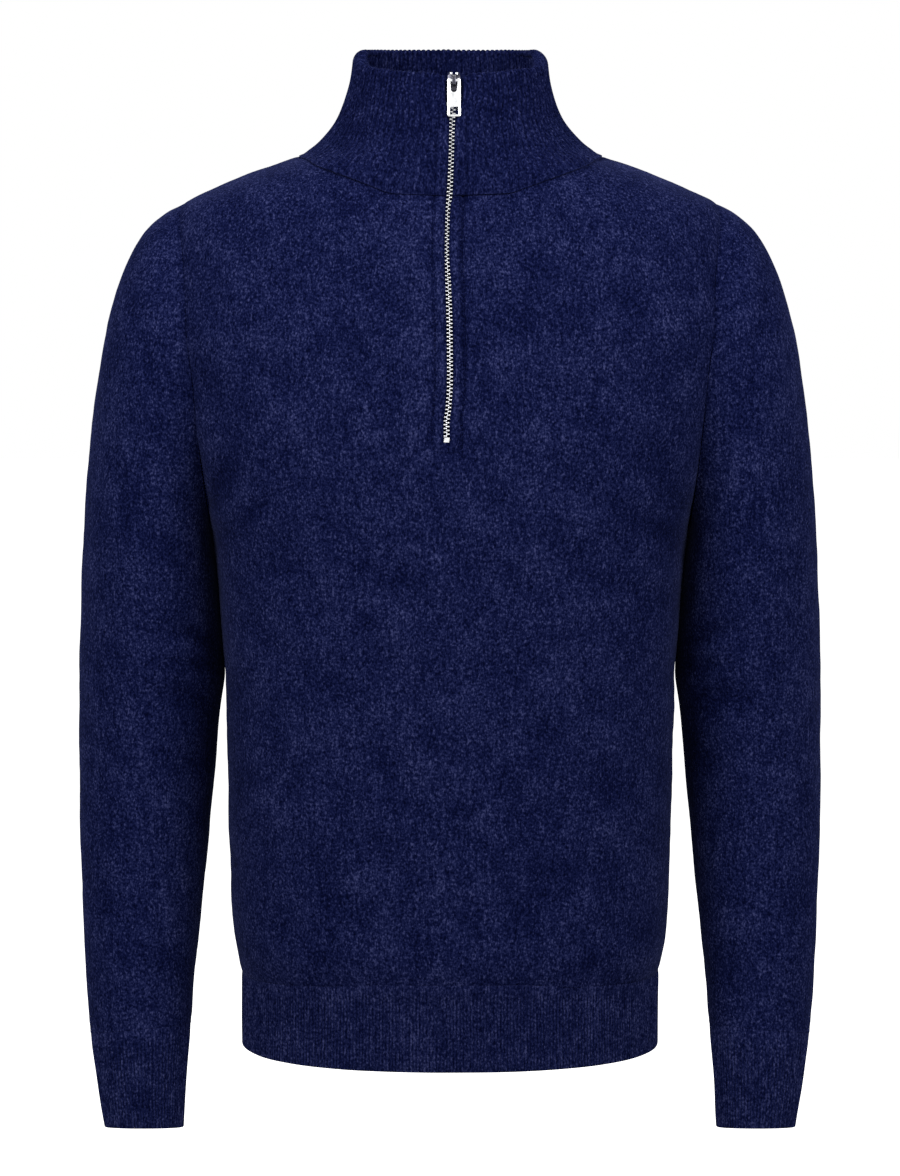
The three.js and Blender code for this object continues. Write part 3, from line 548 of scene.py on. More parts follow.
NAVY_SHADES = [
    (0.37, (0.0011, 0.0018, 0.0110)),
    (0.44, (0.0022, 0.0034, 0.0210)),
    (0.50, (0.0045, 0.0066, 0.0335)),
    (0.56, (0.0108, 0.0142, 0.0550)),
    (0.64, (0.0330, 0.0380, 0.1050)),
]
felted_navy = felted_wool("felted_navy_lambswool", NAVY_SHADES, 2.6, 0.12)

# The row of stitches that holds the zip: how far it stands from the zip's line, its lowest point, and how
# round its corners are.
ZIP_STITCHES = {"offset": 10.6, "bottom": -209.6, "corner": 6}

FRONT_CREASES = table(
    "across along heading length width bow rise",
    [
        (-163, -232, 62, 46, 9, 6, -1.5),
        (-150, -262, 40, 52, 8, -7, -1.1),
        (-139, -300, 22, 40, 9, -5, -0.8),
        (160, -238, 118, 44, 9, -6, -1.4),
        (149, -270, 141, 50, 8, 7, -1.2),
        (137, -312, 160, 36, 8, 5, -0.7),
        (-88, -548, 86, 52, 13, 3, -0.9),
        (-22, -566, 94, 34, 10, -3, -0.6),
        (57, -541, 82, 58, 14, 4, -0.9),
        (118, -560, 97, 38, 10, -3, -0.7),
        (-60, -90, 150, 60, 16, 6, -0.5),
        (-23, -125, 92, 84, 9, 2, 0.9),
        (70, -95, 28, 56, 15, -6, -0.5),
    ],
)
BACK_CREASES = table(
    "across along heading length width bow rise",
    [
        (-158, -240, 60, 48, 9, 6, -1.4),
        (-143, -281, 36, 50, 9, -6, -1.1),
        (157, -236, 121, 50, 9, -6, -1.5),
        (141, -285, 146, 44, 8, 6, -1.0),
        (-20, -512, 2, 96, 13, 9, -1.1),
        (26, -545, -4, 84, 11, 7, -0.8),
        (-78, -558, 88, 36, 11, 3, -0.7),
        (84, -552, 95, 42, 12, -4, -0.8),
        (-48, -82, 166, 66, 16, 5, -0.6),
        (55, -86, 14, 62, 15, -5, -0.6),
    ],
)


def seam_valley(distance, depth=0.6, reach=3.0):
    """The cloth is drawn in at its seam: a bell that is deepest on the seam's line."""
    return -depth * bell(distance, reach)


def calmed(distance, share, reach):
    """What is left of a relief near a line: all of it far away, and that share less on the line."""
    return 1 - share * bell(distance, reach)


# Down to the lowest height the sleeve lies against the body's side, which swells out by the fill to meet it.
SLEEVE_TOUCH = {"start": 5, "lowest": -378, "fade": 12, "fill": 0.95, "reach": 14}
SHOULDER_TIP_REACH = 18
# The widths and heights of the jersey's ripples.
BODY_WAVES = (46, 0.75), (15, 0.22)


def against_sleeve(height, lowest=SLEEVE_TOUCH["lowest"], fade=SLEEVE_TOUCH["fade"]):
    """1 where sleeve and body press together, falling to 0 at the armhole above and at the lowest height."""
    below = np.clip((ARMHOLE["bottom"] + 1 - height) / SLEEVE_TOUCH["start"], 0, 1)
    above = np.clip((height - lowest) / fade, 0, 1)
    return below * above


def away_from_tip(points):
    """1 but for the shoulder's tip, where the seams hardly sink into the outline."""
    beside = np.abs(points[..., 0]) - read(FORM, "half_width", np.array(ARMHOLE["top"]))
    distance = np.sqrt(beside**2 + points[..., 1] ** 2 + (points[..., 2] - ARMHOLE["top"]) ** 2)
    return calmed(distance, 0.9, SHOULDER_TIP_REACH)


def body_relief(points, creases, seed):
    """Everything that lifts or sinks the panel's face: ripples, creases, and the pull of its seams."""
    across, height = points[..., 0], points[..., 2]
    relief = np.zeros_like(across)
    for k, wave in enumerate(BODY_WAVES):
        relief += ripple(across, height, seed + k, *wave)
    relief += creased(across, height, creases)
    rows = run_along(points, 0)
    to_neck = rows[-1:] - rows
    relief += seam_valley(to_neck, 0.7, 1.6) + seam_valley(to_neck - 3.6, 0.75, 1.0)
    relief += seam_valley(rows, 0.4, 3)
    columns = run_along(points, 1)
    to_side = np.minimum(columns, columns[:, -1:] - columns)
    relief += seam_valley(to_side) * away_from_tip(points)
    touch = bell(to_side, SLEEVE_TOUCH["reach"]) * against_sleeve(height)
    return relief * (1 - touch) + SLEEVE_TOUCH["fill"] * touch


def to_zip_stitches(points):
    """How far a point lies outside the stitches' line, which has two straight sides and a rounded bottom."""
    across = np.abs(points[..., 0] - read(ZIP_LINE, "across", points[..., 2]))
    past_side = across - (ZIP_STITCHES["offset"] - ZIP_STITCHES["corner"])
    past_bottom = ZIP_STITCHES["bottom"] + ZIP_STITCHES["corner"] - points[..., 2]
    round_corner = np.hypot(np.maximum(past_side, 0), np.maximum(past_bottom, 0))
    inside = np.minimum(np.maximum(past_side, past_bottom), 0)
    return round_corner + inside - ZIP_STITCHES["corner"]


def beside_zip(points):
    """The cloth beside the zip: its edge rolls under, a strip swells, and the stitches sink their line."""
    across = points[..., 0] - read(ZIP_LINE, "across", points[..., 2])
    to_stitch = to_zip_stitches(points)
    groove = seam_valley(to_stitch, 1.1, 1.7)
    swell = -seam_valley(to_stitch + 4.6, 0.5, 2.8)
    left_side = seam_valley(to_stitch + 1.6, 0.7, 2.2) * (across > 0)
    past_edge = np.maximum(np.abs(across) - read(ZIP_LINE, "half_gap", points[..., 2]), 0)
    rolled = seam_valley(past_edge, 1.3, 1.2) * (points[..., 2] > SLIT_BOTTOM - 3)
    return groove + swell + left_side + rolled


BODY_ROWS, ARMHOLE_ROWS, SHOULDER_ROWS = 118, 100, 34
FRONT_COLUMNS, BACK_COLUMNS = 80, 150

front_rows = panel_rows("front", BODY_ROWS, ARMHOLE_ROWS, SHOULDER_ROWS)
front_rows[1][np.argmin(np.abs(front_rows[1] - SLIT_BOTTOM))] = SLIT_BOTTOM
front_angles, front_heights = front_grid(FRONT_COLUMNS, front_rows)
front_form = form_point(front_angles, front_heights)
front_out = form_normal(front_angles, front_heights)
front_lift = body_relief(front_form, FRONT_CREASES, 11) + beside_zip(front_form)
front_kept = np.ones((len(front_form) - 1, front_form.shape[1] - 1), bool)
front_kept[front_rows[1][1:] > SLIT_BOTTOM, FRONT_COLUMNS] = False
front_body = panel(
    "front_body_knit",
    front_form + front_out * front_lift[..., None],
    front_form - front_out * CLOTH,
    front_kept,
    front_lift,
)

back_rows = panel_rows("back", BODY_ROWS, ARMHOLE_ROWS, SHOULDER_ROWS)
back_angles, back_heights = back_grid(BACK_COLUMNS, back_rows)
back_form = form_point(back_angles, back_heights)
back_out = form_normal(back_angles, back_heights)
back_lift = body_relief(back_form, BACK_CREASES, 23)
back_kept = np.ones((len(back_form) - 1, back_form.shape[1] - 1), bool)
back_body = panel(
    "back_body_knit",
    back_form + back_out * back_lift[..., None],
    back_form - back_out * CLOTH,
    back_kept,
    back_lift,
)


def dress(piece, material, node=None, body="garment"):
    """Gives the piece its material. It rides on a body, and may stand for a node."""
    piece.data.materials.append(material)
    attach(piece, body)
    if node:
        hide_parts(node)


for knit, node in ((front_body, "front_body"), (back_body, "back_body")):
    dress(knit, felted_navy, node)


# The sleeves. Each is a tube of the same felted jersey, set into its armhole and linked to it all round. It
# narrows to the wrist, and the elbow's slight bend crowds the cloth into short soft creases on the inside.
SLEEVE = table(
    "row out_x out_z in_x in_z half_depth middle tip armhole",
    [
        (0, 194.6, -35.5, 175, -275, 60, 0, 0, 1),
        (1, 205.6, -40.9, 175.9, -277.5, 61, 0.5, 0, 0.75),
        (2, 221, -53, 175.6, -281, 62.5, 1, 0, 0.45),
        (3, 233.8, -72, 175.1, -285, 64, 2, 0, 0.2),
        (4, 244, -96.5, 174.4, -290, 65, 3, 0, 0.05),
        (5, 252.6, -127, 173.4, -297, 66, 4, 0, 0),
        (6, 259.2, -163, 172.3, -306, 66.5, 5, 0, 0),
        (7, 265, -206, 171.2, -318, 66.5, 6, 0, 0),
        (8, 269.4, -252, 170.2, -332, 66, 7, 0, 0),
        (9, 272.2, -296, 169.2, -346, 65, 8, 0.5, 0),
        (10, 274, -334, 168.3, -362, 63.5, 9, 1, 0),
        (11, 275.2, -366, 167.4, -382, 62, 9.5, 1.5, 0),
        (12, 275.8, -404, 170.8, -408, 59.5, 10, 2.5, 0),
        (13, 276, -452, 174.6, -450, 54.5, 7.5, 4, 0),
        (14, 275.7, -498, 178.9, -495, 50, 3.5, 5, 0),
        (15, 274, -548, 183.6, -544, 45.5, -2, 6.5, 0),
        (16, 271.4, -600, 188.8, -594.5, 41, -9, 8, 0),
        (17, 267.5, -649.4, 192.9, -642, 35.1, -16.6, 9.5, 0),
    ],
)


def tube_ring(rows, at, turn):
    """Rings of a sleeve or cuff: ovals from an outer to an inner point, raised at the front by their tip."""
    column = {name: read(rows, name, at)[:, None, None] for name in rows}
    outer = np.concatenate([column["out_x"], column["middle"], column["out_z"]], axis=-1)
    inner = np.concatenate([column["in_x"], column["middle"], column["in_z"]], axis=-1)
    middle, outwards = (outer + inner) / 2, (outer - inner) / 2
    tip = np.radians(column["tip"])
    forwards = np.concatenate([0 * tip, -np.cos(tip), np.sin(tip)], axis=-1) * column["half_depth"]
    return middle + outwards * np.cos(turn)[None, :, None] + forwards * np.sin(turn)[None, :, None]


def band(name, loops, closed):
    """A wall whose section is a closed loop of rows, carried round. Its ends meet, or rungs cap each end."""
    rows, columns = loops.shape[:2]
    number = np.arange(rows * columns).reshape(rows, columns)
    i = np.arange(rows)[:, None]
    j = np.arange(columns if closed else columns - 1)[None]
    i, j = (k.reshape(-1) for k in np.broadcast_arrays(i, j))
    below, right = (i + 1) % rows, (j + 1) % columns
    faces = [np.stack([number[i, j], number[i, right], number[below, right], number[below, j]], axis=1)]
    if not closed:
        rung = np.arange(rows // 2 - 1)
        opposite = rows - 1 - rung
        cap = number[np.stack([rung, rung + 1, opposite - 1, opposite], axis=1)]
        faces += [cap[..., 0], cap[:, ::-1, -1]]
    return into_mesh(name, loops.reshape(-1, 3), *faces)


SLEEVE_CREASES = table(
    "across along heading length width bow rise",
    [
        (137, 9.7, 28, 26, 0.34, 0.2, -2.2),
        (150, 10.7, -24, 30, 0.30, -0.2, -2.0),
        (128, 11.7, 22, 28, 0.36, 0.2, -2.3),
        (141, 12.9, -20, 26, 0.34, -0.2, -1.6),
        (118, 10.3, -18, 18, 0.30, 0.1, 0.9),
        (163, 11.5, 16, 20, 0.32, 0.1, 1.0),
        (212, 9.9, -26, 30, 0.36, -0.2, -2.0),
        (226, 11.1, 24, 28, 0.34, 0.2, -1.9),
        (206, 12.2, -20, 28, 0.40, -0.2, -2.0),
        (238, 13.4, 18, 30, 0.40, 0.2, -1.2),
        (60, 3.4, 10, 34, 0.6, 0.2, -0.8),
        (305, 3.8, -12, 36, 0.6, -0.2, -0.9),
        (95, 7.2, -10, 40, 0.5, 0.2, -0.8),
        (270, 6.6, 12, 44, 0.5, 0.2, -0.8),
        (40, 14.8, 16, 36, 0.4, 0.2, -0.7),
        (320, 15.6, -14, 38, 0.4, 0.2, -0.8),
        (150, 16.1, 12, 42, 0.3, 0.2, -0.8),
    ],
)
# Round the sleeve, a crease climbs this many of the table's rows in 100 degrees, times its heading.
CREASE_CLIMB = 0.03
MM_A_DEGREE = 1.1
SLEEVE_END = SLEEVE["row"][-1:]
SLEEVE_COLUMNS, SLEEVE_ROWS, LINING_ROWS = 108, 205, 86
SLEEVE_WAVES = (44, 0.6), (15, 0.2)
SLEEVE_SWELLS_TO = 0.4
WRIST = {"reach": 14, "lift": 0.3}
# Where it faces the body the sleeve is kept smooth, which fades out and ends this far below the touch.
SMOOTH = {"below": 130, "fade": 110, "degrees": 30}


def turned_creases(turn, row, creases):
    """The same by degrees round the sleeve and by rows of its table, each climbing as its heading says."""
    total = np.zeros_like(turn)
    for values in zip(*creases.values()):
        crease = dict(zip(creases, values))
        round_it = turn - crease["across"]
        climb = crease["heading"] / 100 * CREASE_CLIMB * round_it
        total += long_bell(round_it, row - crease["along"] - climb, crease)
    return total


def sleeve_form(side, at, turn):
    """The sleeve's rings, whose first ones keep the armhole's cut and let go of it row by row."""
    rings = tube_ring(SLEEVE, at, turn)
    cut = form_point(*armhole_on_form(turn, -SEAM_LAP))
    keep = read(SLEEVE, "armhole", at)[:, None, None]
    rings = rings + (cut[None] - tube_ring(SLEEVE, np.zeros(1), turn)) * keep
    return rings * np.array([side, 1, 1])


def sleeve(side, name, seed):
    """A tube whose outer rows run from armhole to cuff, and whose inner rows run back."""
    turn = np.arange(SLEEVE_COLUMNS) / SLEEVE_COLUMNS * 2 * math.pi
    outer_at = np.linspace(0, SLEEVE_END[0], SLEEVE_ROWS)
    inner_at = np.linspace(SLEEVE_END[0], 0, LINING_ROWS)
    outer = sleeve_form(side, outer_at, turn)
    inner = sleeve_form(side, inner_at, turn)
    out = grid_normals(outer, closed=True) * side
    degrees = np.broadcast_to(np.degrees(turn)[None], outer.shape[:2])
    along = run_along(outer, 0)
    lift = turned_creases(degrees, np.broadcast_to(outer_at[:, None], degrees.shape), SLEEVE_CREASES)
    around = degrees * MM_A_DEGREE
    for k, wave in enumerate(SLEEVE_WAVES):
        lift = lift + ripple(around, along, seed + k, *wave)
    lift = np.minimum(lift, SLEEVE_SWELLS_TO) + seam_valley(along) * away_from_tip(outer)
    touching = against_sleeve(outer[..., 2], SLEEVE_TOUCH["lowest"] - SMOOTH["below"], SMOOTH["fade"])
    lift *= 1 - bell(degrees - 180, SMOOTH["degrees"]) * touching
    to_cuff = along[-1:] - along
    drawn = bell(to_cuff, WRIST["reach"])
    lift = lift * (1 - drawn) + WRIST["lift"] * drawn
    lift += seam_valley(to_cuff, 0.2, 1.6) + seam_valley(to_cuff - 4.2, 0.3, 1.3)
    inner_out = grid_normals(inner, closed=True) * -side
    loops = np.concatenate([outer + out * lift[..., None], inner - inner_out * CLOTH])
    knit = band(name, loops, closed=True)
    # The sleeve's creases and seams are kept as painted shade in the wool's colour. Its lining is left
    # unpainted.
    paint_shade_by_depth(knit, np.concatenate([lift / -SHADE_FULL_DEPTH, np.zeros(inner.shape[:2])]))
    return knit


for side, name, seed in ((1, "left", 31), (-1, "right", 47)):
    knit = sleeve(side, f"sleeve_{name}_knit", seed)
    dress(knit, felted_navy, f"sleeve_{name}")


# The cuffs. Each is a tube of one by one rib in the same wool, linked to the sleeve in a round seam, with a
# soft welt as its free edge. Its ribs draw the sleeve in at the wrist.
CUFF = table(
    "row out_x out_z in_x in_z half_depth middle tip armhole",
    [
        (0, 267.4, -649.1, 193, -641.7, 35.0, -16.6, 9.5, 0),
        (1, 262, -685.6, 196.4, -682.4, 32.3, -22.5, 10.5, 0),
        (2, 256.2, -718.8, 198.4, -718.8, 30.5, -27.5, 11, 0),
    ],
)
CUFF_LENGTH = 75.5
RIB_RISE = 0.8
CUFF_RIBS = 80
CUFF_ROWS, CUFF_LINING_ROWS = 27, 10
RIB_STEPS = 6
RIB_ROUNDNESS = 0.8
# Painted shade in the ribs' colour: darker in their furrows, paler on their crests.
RIB_PAINTED_SHADE = {"furrow": 0.6, "crest": -0.45}
CUFF_WAVES = (40, 0.35)
TURN_STEP = 0.05
FINE_POINTS = 1441

ribbed_navy = felted_wool("ribbed_navy_lambswool", NAVY_SHADES, 2.2, 0.18)


def rib_profile(ribs, share):
    """Round ridges and narrow furrows: the sine's size, once for each rib."""
    return np.abs(np.sin(math.pi * ribs * share)) ** RIB_ROUNDNESS


def equal_shares(points_at, count):
    """Shares of the way along a curve that are equally far apart on it."""
    fine = np.linspace(0, 1, FINE_POINTS)
    run = np.concatenate([[0], np.cumsum(np.linalg.norm(np.diff(points_at(fine), axis=0), axis=1))])
    return np.interp(np.linspace(0, run[-1], count + 1), run, fine), run[-1]


def welt(thickness, steps=6):
    """Half a circle round a free edge: each row's depth, how far it stops short, and its direction."""
    swing = np.linspace(0, math.pi, steps + 1)[1:-1]
    radius = thickness / 2
    return radius - radius * np.cos(swing), radius - radius * np.sin(swing), swing


def wall_rows(down, depth, swing, up):
    """How deep a band's rows lie under its face, and which way they face, from 1 outside to -1 inside."""
    sunk = np.concatenate([np.zeros(len(down)), depth, np.full(len(up), CLOTH)])
    return sunk, np.concatenate([np.ones(len(down)), np.cos(swing), -np.ones(len(up))])


def cuff(side, name, seed):
    """Rings of ribs from the sleeve's seam to the wrist, round the welt and back up inside."""

    def rings(at, turn):
        return tube_ring(CUFF, at, turn) * np.array([side, 1, 1])

    columns = CUFF_RIBS * RIB_STEPS
    shares, _ = equal_shares(lambda share: tube_ring(CUFF, np.ones(1), share * 2 * math.pi)[0], columns)
    turn = shares[:-1] * 2 * math.pi
    ribs = rib_profile(CUFF_RIBS, np.arange(columns) / columns)
    depth, short, swing = welt(CLOTH)
    down = np.linspace(0, CUFF_LENGTH - CLOTH / 2, CUFF_ROWS)
    up = np.linspace(CUFF_LENGTH - CLOTH / 2, 0, CUFF_LINING_ROWS)
    distance = np.concatenate([down, CUFF_LENGTH - short, up])
    sunk, facing = wall_rows(down, depth, swing, up)
    row = CUFF["row"][-1] * distance / CUFF_LENGTH
    base = rings(row, turn)
    course = rings(row, turn + TURN_STEP) - rings(row, turn - TURN_STEP)
    axis = rings(CUFF["row"][:1], turn).mean(axis=1) - rings(CUFF["row"][-1:], turn).mean(axis=1)
    out = unit(np.cross(axis[None], course)) * side
    wander = ripple(*np.broadcast_arrays(np.degrees(turn)[None], distance[:, None]), seed, *CUFF_WAVES)
    at_seam = calmed(distance, 0.9, 7.0)
    pucker = seam_valley(distance, 0.1, 1.6) * (facing > 0)
    rise = (RIB_RISE * (ribs[None] - 0.5) * facing[:, None] + wander) * at_seam[:, None] + pucker[:, None]
    loops = base + out * (rise - sunk[:, None])[..., None]
    knit = band(name, loops, closed=True)
    # Painted shade: the furrows between the ribs are painted darker and the crests paler.
    paint_shade_by_depth(knit, RIB_PAINTED_SHADE["furrow"] * (1 - ribs[None]) * at_seam[:, None] + RIB_PAINTED_SHADE["crest"])
    return knit


for side, name, seed in ((1, "left", 53), (-1, "right", 59)):
    knit = cuff(side, f"cuff_{name}_rib", seed)
    dress(knit, ribbed_navy, f"cuff_{name}")


# The hem. A straight band of the same rib in two halves, joined at the sides under the side seams, holds the
# body in a little, so that the jersey blouses over it.
HEM_BOTTOM = -659
HEM_RIBS = 176
HEM_ROWS, HEM_WELT_STEPS = 13, 7
HEM_WAVES = (48, 0.5)


def hem_rib(name, centre_angle, face, seed):
    """Ribs from the body's seam down to the welt and back up inside, from one side seam to the other."""
    columns = HEM_RIBS * RIB_STEPS
    half = math.pi / 2 + SEAM_LAP / 2 / read(FORM, "half_width", HEM_BOTTOM)
    shares, girth = equal_shares(lambda s: form_point(centre_angle + (2 * s - 1) * half, HEM_BOTTOM), columns)
    angle = centre_angle + (2 * shares - 1) * half
    ribs = rib_profile(HEM_RIBS, np.arange(columns + 1) / columns)
    seam = row_height(HEM_SEAM["side"], HEM_SEAM[face], np.abs(2 * shares - 1) * half, half, face) + SEAM_LAP
    length = seam - HEM_BOTTOM
    depth, short, swing = welt(CLOTH, HEM_WELT_STEPS)
    down = np.linspace(0, 1, HEM_ROWS)
    up = down[::-1]
    welt_share = 1 - CLOTH / 2 / length.mean()
    share_down = np.concatenate([down * welt_share, 1 - short / length.mean(), up * welt_share])
    sunk, facing = wall_rows(down, depth, swing, up)
    height = seam[None] - share_down[:, None] * length[None]
    angle, run = np.broadcast_arrays(angle[None], shares[None] * girth, height)[:2]
    base = form_point(angle, height)
    out = form_normal(angle, height) * np.array([1, 1, 0])
    run_down = share_down * length.mean()
    wander = ripple(run, height, seed, *HEM_WAVES)
    at_seam = calmed(run_down, 0.7, 3.0)
    pucker = seam_valley(run_down, 0.3, 2.4) * (facing > 0)
    rise = RIB_RISE * ribs[None] * (facing * at_seam)[:, None] + pucker[:, None] + wander
    loops = base + unit(out) * (rise - sunk[:, None])[..., None]
    knit = band(name, loops, closed=False)
    # Painted shade: the furrows between the ribs are painted darker and the crests paler.
    paint_shade_by_depth(knit, RIB_PAINTED_SHADE["furrow"] * (1 - ribs[None]) * at_seam[:, None] + RIB_PAINTED_SHADE["crest"])
    return knit


for face, centre_angle, seed in (("front", 0.0, 61), ("back", math.pi, 67)):
    knit = hem_rib(f"hem_rib_{face}_knit", centre_angle, face, seed)
    dress(knit, ribbed_navy, f"hem_rib_{face}")


# The collar. A deep band of coarser rib is folded double and linked to the neck's edge, and its fold makes
# the soft roll at the top. Its ends meet at the front in the zip, which is sewn between its layers.
COLLAR_PROUD = 1.4
COLLAR_RIB_RISE = 0.9
COLLAR_RIBS = 112
STAND_ROWS, ROLL_ROWS, FOLD_STEPS = 36, 9, 7
STAND_MIDDLE = 20.0
STAND_LENGTH = 80
STAND_CROWDING = 1.25
COLLAR_WAVES = (52, 0.7)
# Painted shade on the collar: a little darker all over, and more in its furrows and along the zip's stitches.
COLLAR_PAINTED_SHADE = {"furrow": 0.9, "stitches": 0.7, "crest": 0.2}
COLLAR_STITCHED = {"flattened": 0.8, "depth": 0.7, "reach": 1.2}
COLLAR_EDGE = table(
    "angle height roll bend",
    [
        (0, 58.6, 4.2, 60),
        (25, 60, 4.3, 60),
        (41, 61.6, 4.6, 65),
        (56, 62.8, 5.2, 75),
        (68, 65.4, 6.4, 88),
        (80, 70.2, 7.6, 90),
        (90, 74.6, 8, 90),
        (100, 77, 7.6, 80),
        (130, 77.5, 5, 30),
        (180, 77.8, 4.2, 12),
    ],
)


def neck_edge_at(angle):
    """Height of the neck's edge by the angle from the front's centre, from the front's seam or the back's."""
    turned = np.degrees(math.pi - np.abs(math.pi - angle))
    front = read(NECK_SEAM, "front", np.minimum(turned, 90))
    back = read(NECK_SEAM, "back", np.minimum(180 - turned, 90))
    return np.where(turned <= 90, front, back)


def collar(name, seed):
    """Ribs from the seam up the stand, over the roll, round the fold and back down inside."""
    columns = COLLAR_RIBS * RIB_STEPS
    thickness = COLLAR_PROUD + CLOTH

    def angle_from_slit(share, height):
        start = slit_angle(height, 1)
        return start + share * (2 * math.pi + slit_angle(height, -1) - start)

    def at_middle(share):
        return form_point(angle_from_slit(share, np.full(share.shape, STAND_MIDDLE)), STAND_MIDDLE)

    shares, girth = equal_shares(at_middle, columns)
    ribs = rib_profile(COLLAR_RIBS, np.arange(columns + 1) / columns)
    seam_angle = angle_from_slit(shares, np.full(shares.shape, NECK_SEAM["front"][0]))
    turned = np.degrees(math.pi - np.abs(math.pi - seam_angle))
    seam = neck_edge_at(seam_angle) - SEAM_LAP
    roll = read(COLLAR_EDGE, "roll", turned)
    from_ends = np.minimum(shares, 1 - shares) * girth
    dip = 2.4 * bell(from_ends, 4.5)
    half = thickness / 2
    most = np.radians(read(COLLAR_EDGE, "bend", turned))
    stand_top = read(COLLAR_EDGE, "height", turned) - roll * np.sin(most) - half * np.cos(most) - dip

    climb = np.linspace(0, 1, STAND_ROWS) ** STAND_CROWDING
    bend_up = np.linspace(0, 1, ROLL_ROWS)[1:]
    fold = np.linspace(0, math.pi, FOLD_STEPS + 1)[1:-1]
    rows = STAND_ROWS + len(bend_up)
    stand_share = np.concatenate([climb, np.ones(2 * len(bend_up) + len(fold)), climb[::-1]])
    flat = np.zeros(STAND_ROWS)
    bend_share = np.concatenate([flat, bend_up, np.ones(len(fold)), bend_up[::-1], flat])
    bend = bend_share[:, None] * most[None]
    sunk = np.concatenate([np.zeros(rows), half - half * np.cos(fold), np.full(rows, thickness)])
    past = np.concatenate([np.zeros(rows), half * np.sin(fold), np.zeros(rows)])
    turned_over = np.concatenate([np.zeros(rows), fold, np.full(rows, math.pi)])
    facing = bend + turned_over[:, None]

    height = seam[None] + stand_share[:, None] * (stand_top - seam)[None]
    across = shares[None] + 0 * height
    angle = angle_from_slit(across, height)
    base = form_point(angle, height)
    out = form_normal(angle, height)
    up = np.array([0, 0, 1.0])
    soft_end = seam_valley(from_ends[None], 1.5, 1.5) * (np.cos(facing) > -0.5)
    climbed = stand_share * STAND_LENGTH
    at_seam = calmed(climbed, 0.7, 2.4)
    crown = np.cos(facing)[..., None] * out + np.sin(facing)[..., None] * up
    wander = ripple(across * girth, height, seed, *COLLAR_WAVES) * (np.cos(facing) > 0)
    pucker = seam_valley(climbed, 0.7, 2.0)
    rise = COLLAR_RIB_RISE * ribs[None] * at_seam[:, None] + wander + pucker[:, None] + soft_end
    half_gap = read(ZIP_LINE, "half_gap", height)
    at_stitches = bell(from_ends[None] + half_gap - ZIP_STITCHES["offset"], COLLAR_STITCHED["reach"])
    rise = rise * (1 - COLLAR_STITCHED["flattened"] * at_stitches)
    rise -= COLLAR_STITCHED["depth"] * at_stitches * (np.cos(facing) > 0)
    core = COLLAR_PROUD - roll[None]
    radius = roll[None] - sunk[:, None]
    stretch = core + radius * np.cos(bend) - past[:, None] * np.sin(bend)
    lifted = radius * np.sin(bend) + past[:, None] * np.cos(bend)
    loops = base + out * stretch[..., None] + up * lifted[..., None] + crown * rise[..., None]
    knit = band(name, loops, closed=False)
    # Painted shade: a little darker all over, and more in the furrows and along the zip's stitches.
    furrow_painted_shade = COLLAR_PAINTED_SHADE["furrow"] * (1 - ribs[None]) * at_seam[:, None]
    paint_shade_by_depth(knit, furrow_painted_shade + COLLAR_PAINTED_SHADE["stitches"] * at_stitches + COLLAR_PAINTED_SHADE["crest"])
    return knit


collar_knit = collar("collar_rib_knit", 71)
dress(collar_knit, ribbed_navy, "collar")


# The seams. The pieces are linked loop to loop in the same wool: short slanting stitches cross every seam
# close together, and they sink into the cloth where it is drawn in.
LINKING = {"pitch": 2.3, "reach": 1.25, "slant": 0.55, "radius": 0.32, "corners": 5}
NEARBY = 0.2


def rods(name, starts, ends, outwards, stations, section):
    """Many small closed rods. Stations give share, lift and size along each, and section is its outline."""
    course = ends - starts
    sideways = unit(np.cross(course, outwards))
    share, lift, size = (np.array(values, float)[None, :, None, None] for values in zip(*stations))
    side, up = (np.array(values, float)[None, None, :, None] for values in zip(*section))
    spine = starts[:, None, None] + share * course[:, None, None]
    points = spine + (lift + size * up) * outwards[:, None, None] + size * side * sideways[:, None, None]
    number = np.arange(points[..., 0].size).reshape(points.shape[:3])
    beside = np.roll(number, -1, axis=2)
    wall = [number[:, :-1], beside[:, :-1], beside[:, 1:], number[:, 1:]]
    sides = np.stack(wall, axis=-1).reshape(-1, 4)
    return into_mesh(name, points.reshape(-1, 3), sides, number[:, 0, ::-1], number[:, -1])


def circle(radius, corners):
    """A round outline of that many corners."""
    turn = np.arange(corners) / corners * 2 * math.pi
    return list(zip(radius * np.cos(turn), radius * np.sin(turn)))


def along_run(at, run, values):
    """Three columns of values, given along a run, read off at other places of it."""
    return np.stack([np.interp(at, run, values[:, k]) for k in range(3)], axis=1)


def evenly_along(points, pitch):
    """Places a pitch apart along a line of points, the line's direction there, their run and the line's."""
    run = run_along(points[:, None], 0)[:, 0]
    at = np.linspace(0, run[-1], max(int(run[-1] / pitch), 2) + 1)
    at = (at[:-1] + at[1:]) / 2
    course = along_run(at + NEARBY, run, points) - along_run(at - NEARBY, run, points)
    return along_run(at, run, points), unit(course), at, run


def linking(points, outwards, start_sunk, end_sunk):
    """Start, end and outward direction of the stitches across a seam, sunk on each side as the cloth is."""
    place, course, at, run = evenly_along(points, LINKING["pitch"])
    out = unit(along_run(at, run, outwards))
    over = unit(np.cross(out, course))
    reach, slant = LINKING["reach"] * over, LINKING["slant"] * course
    return place - reach - slant - out * start_sunk, place + reach + slant - out * end_sunk, out


def form_line(angle, height):
    """A line on the form with its outward directions."""
    angle, height = np.broadcast_arrays(np.asarray(angle, float), np.asarray(height, float))
    return form_point(angle, height), form_normal(angle, height)


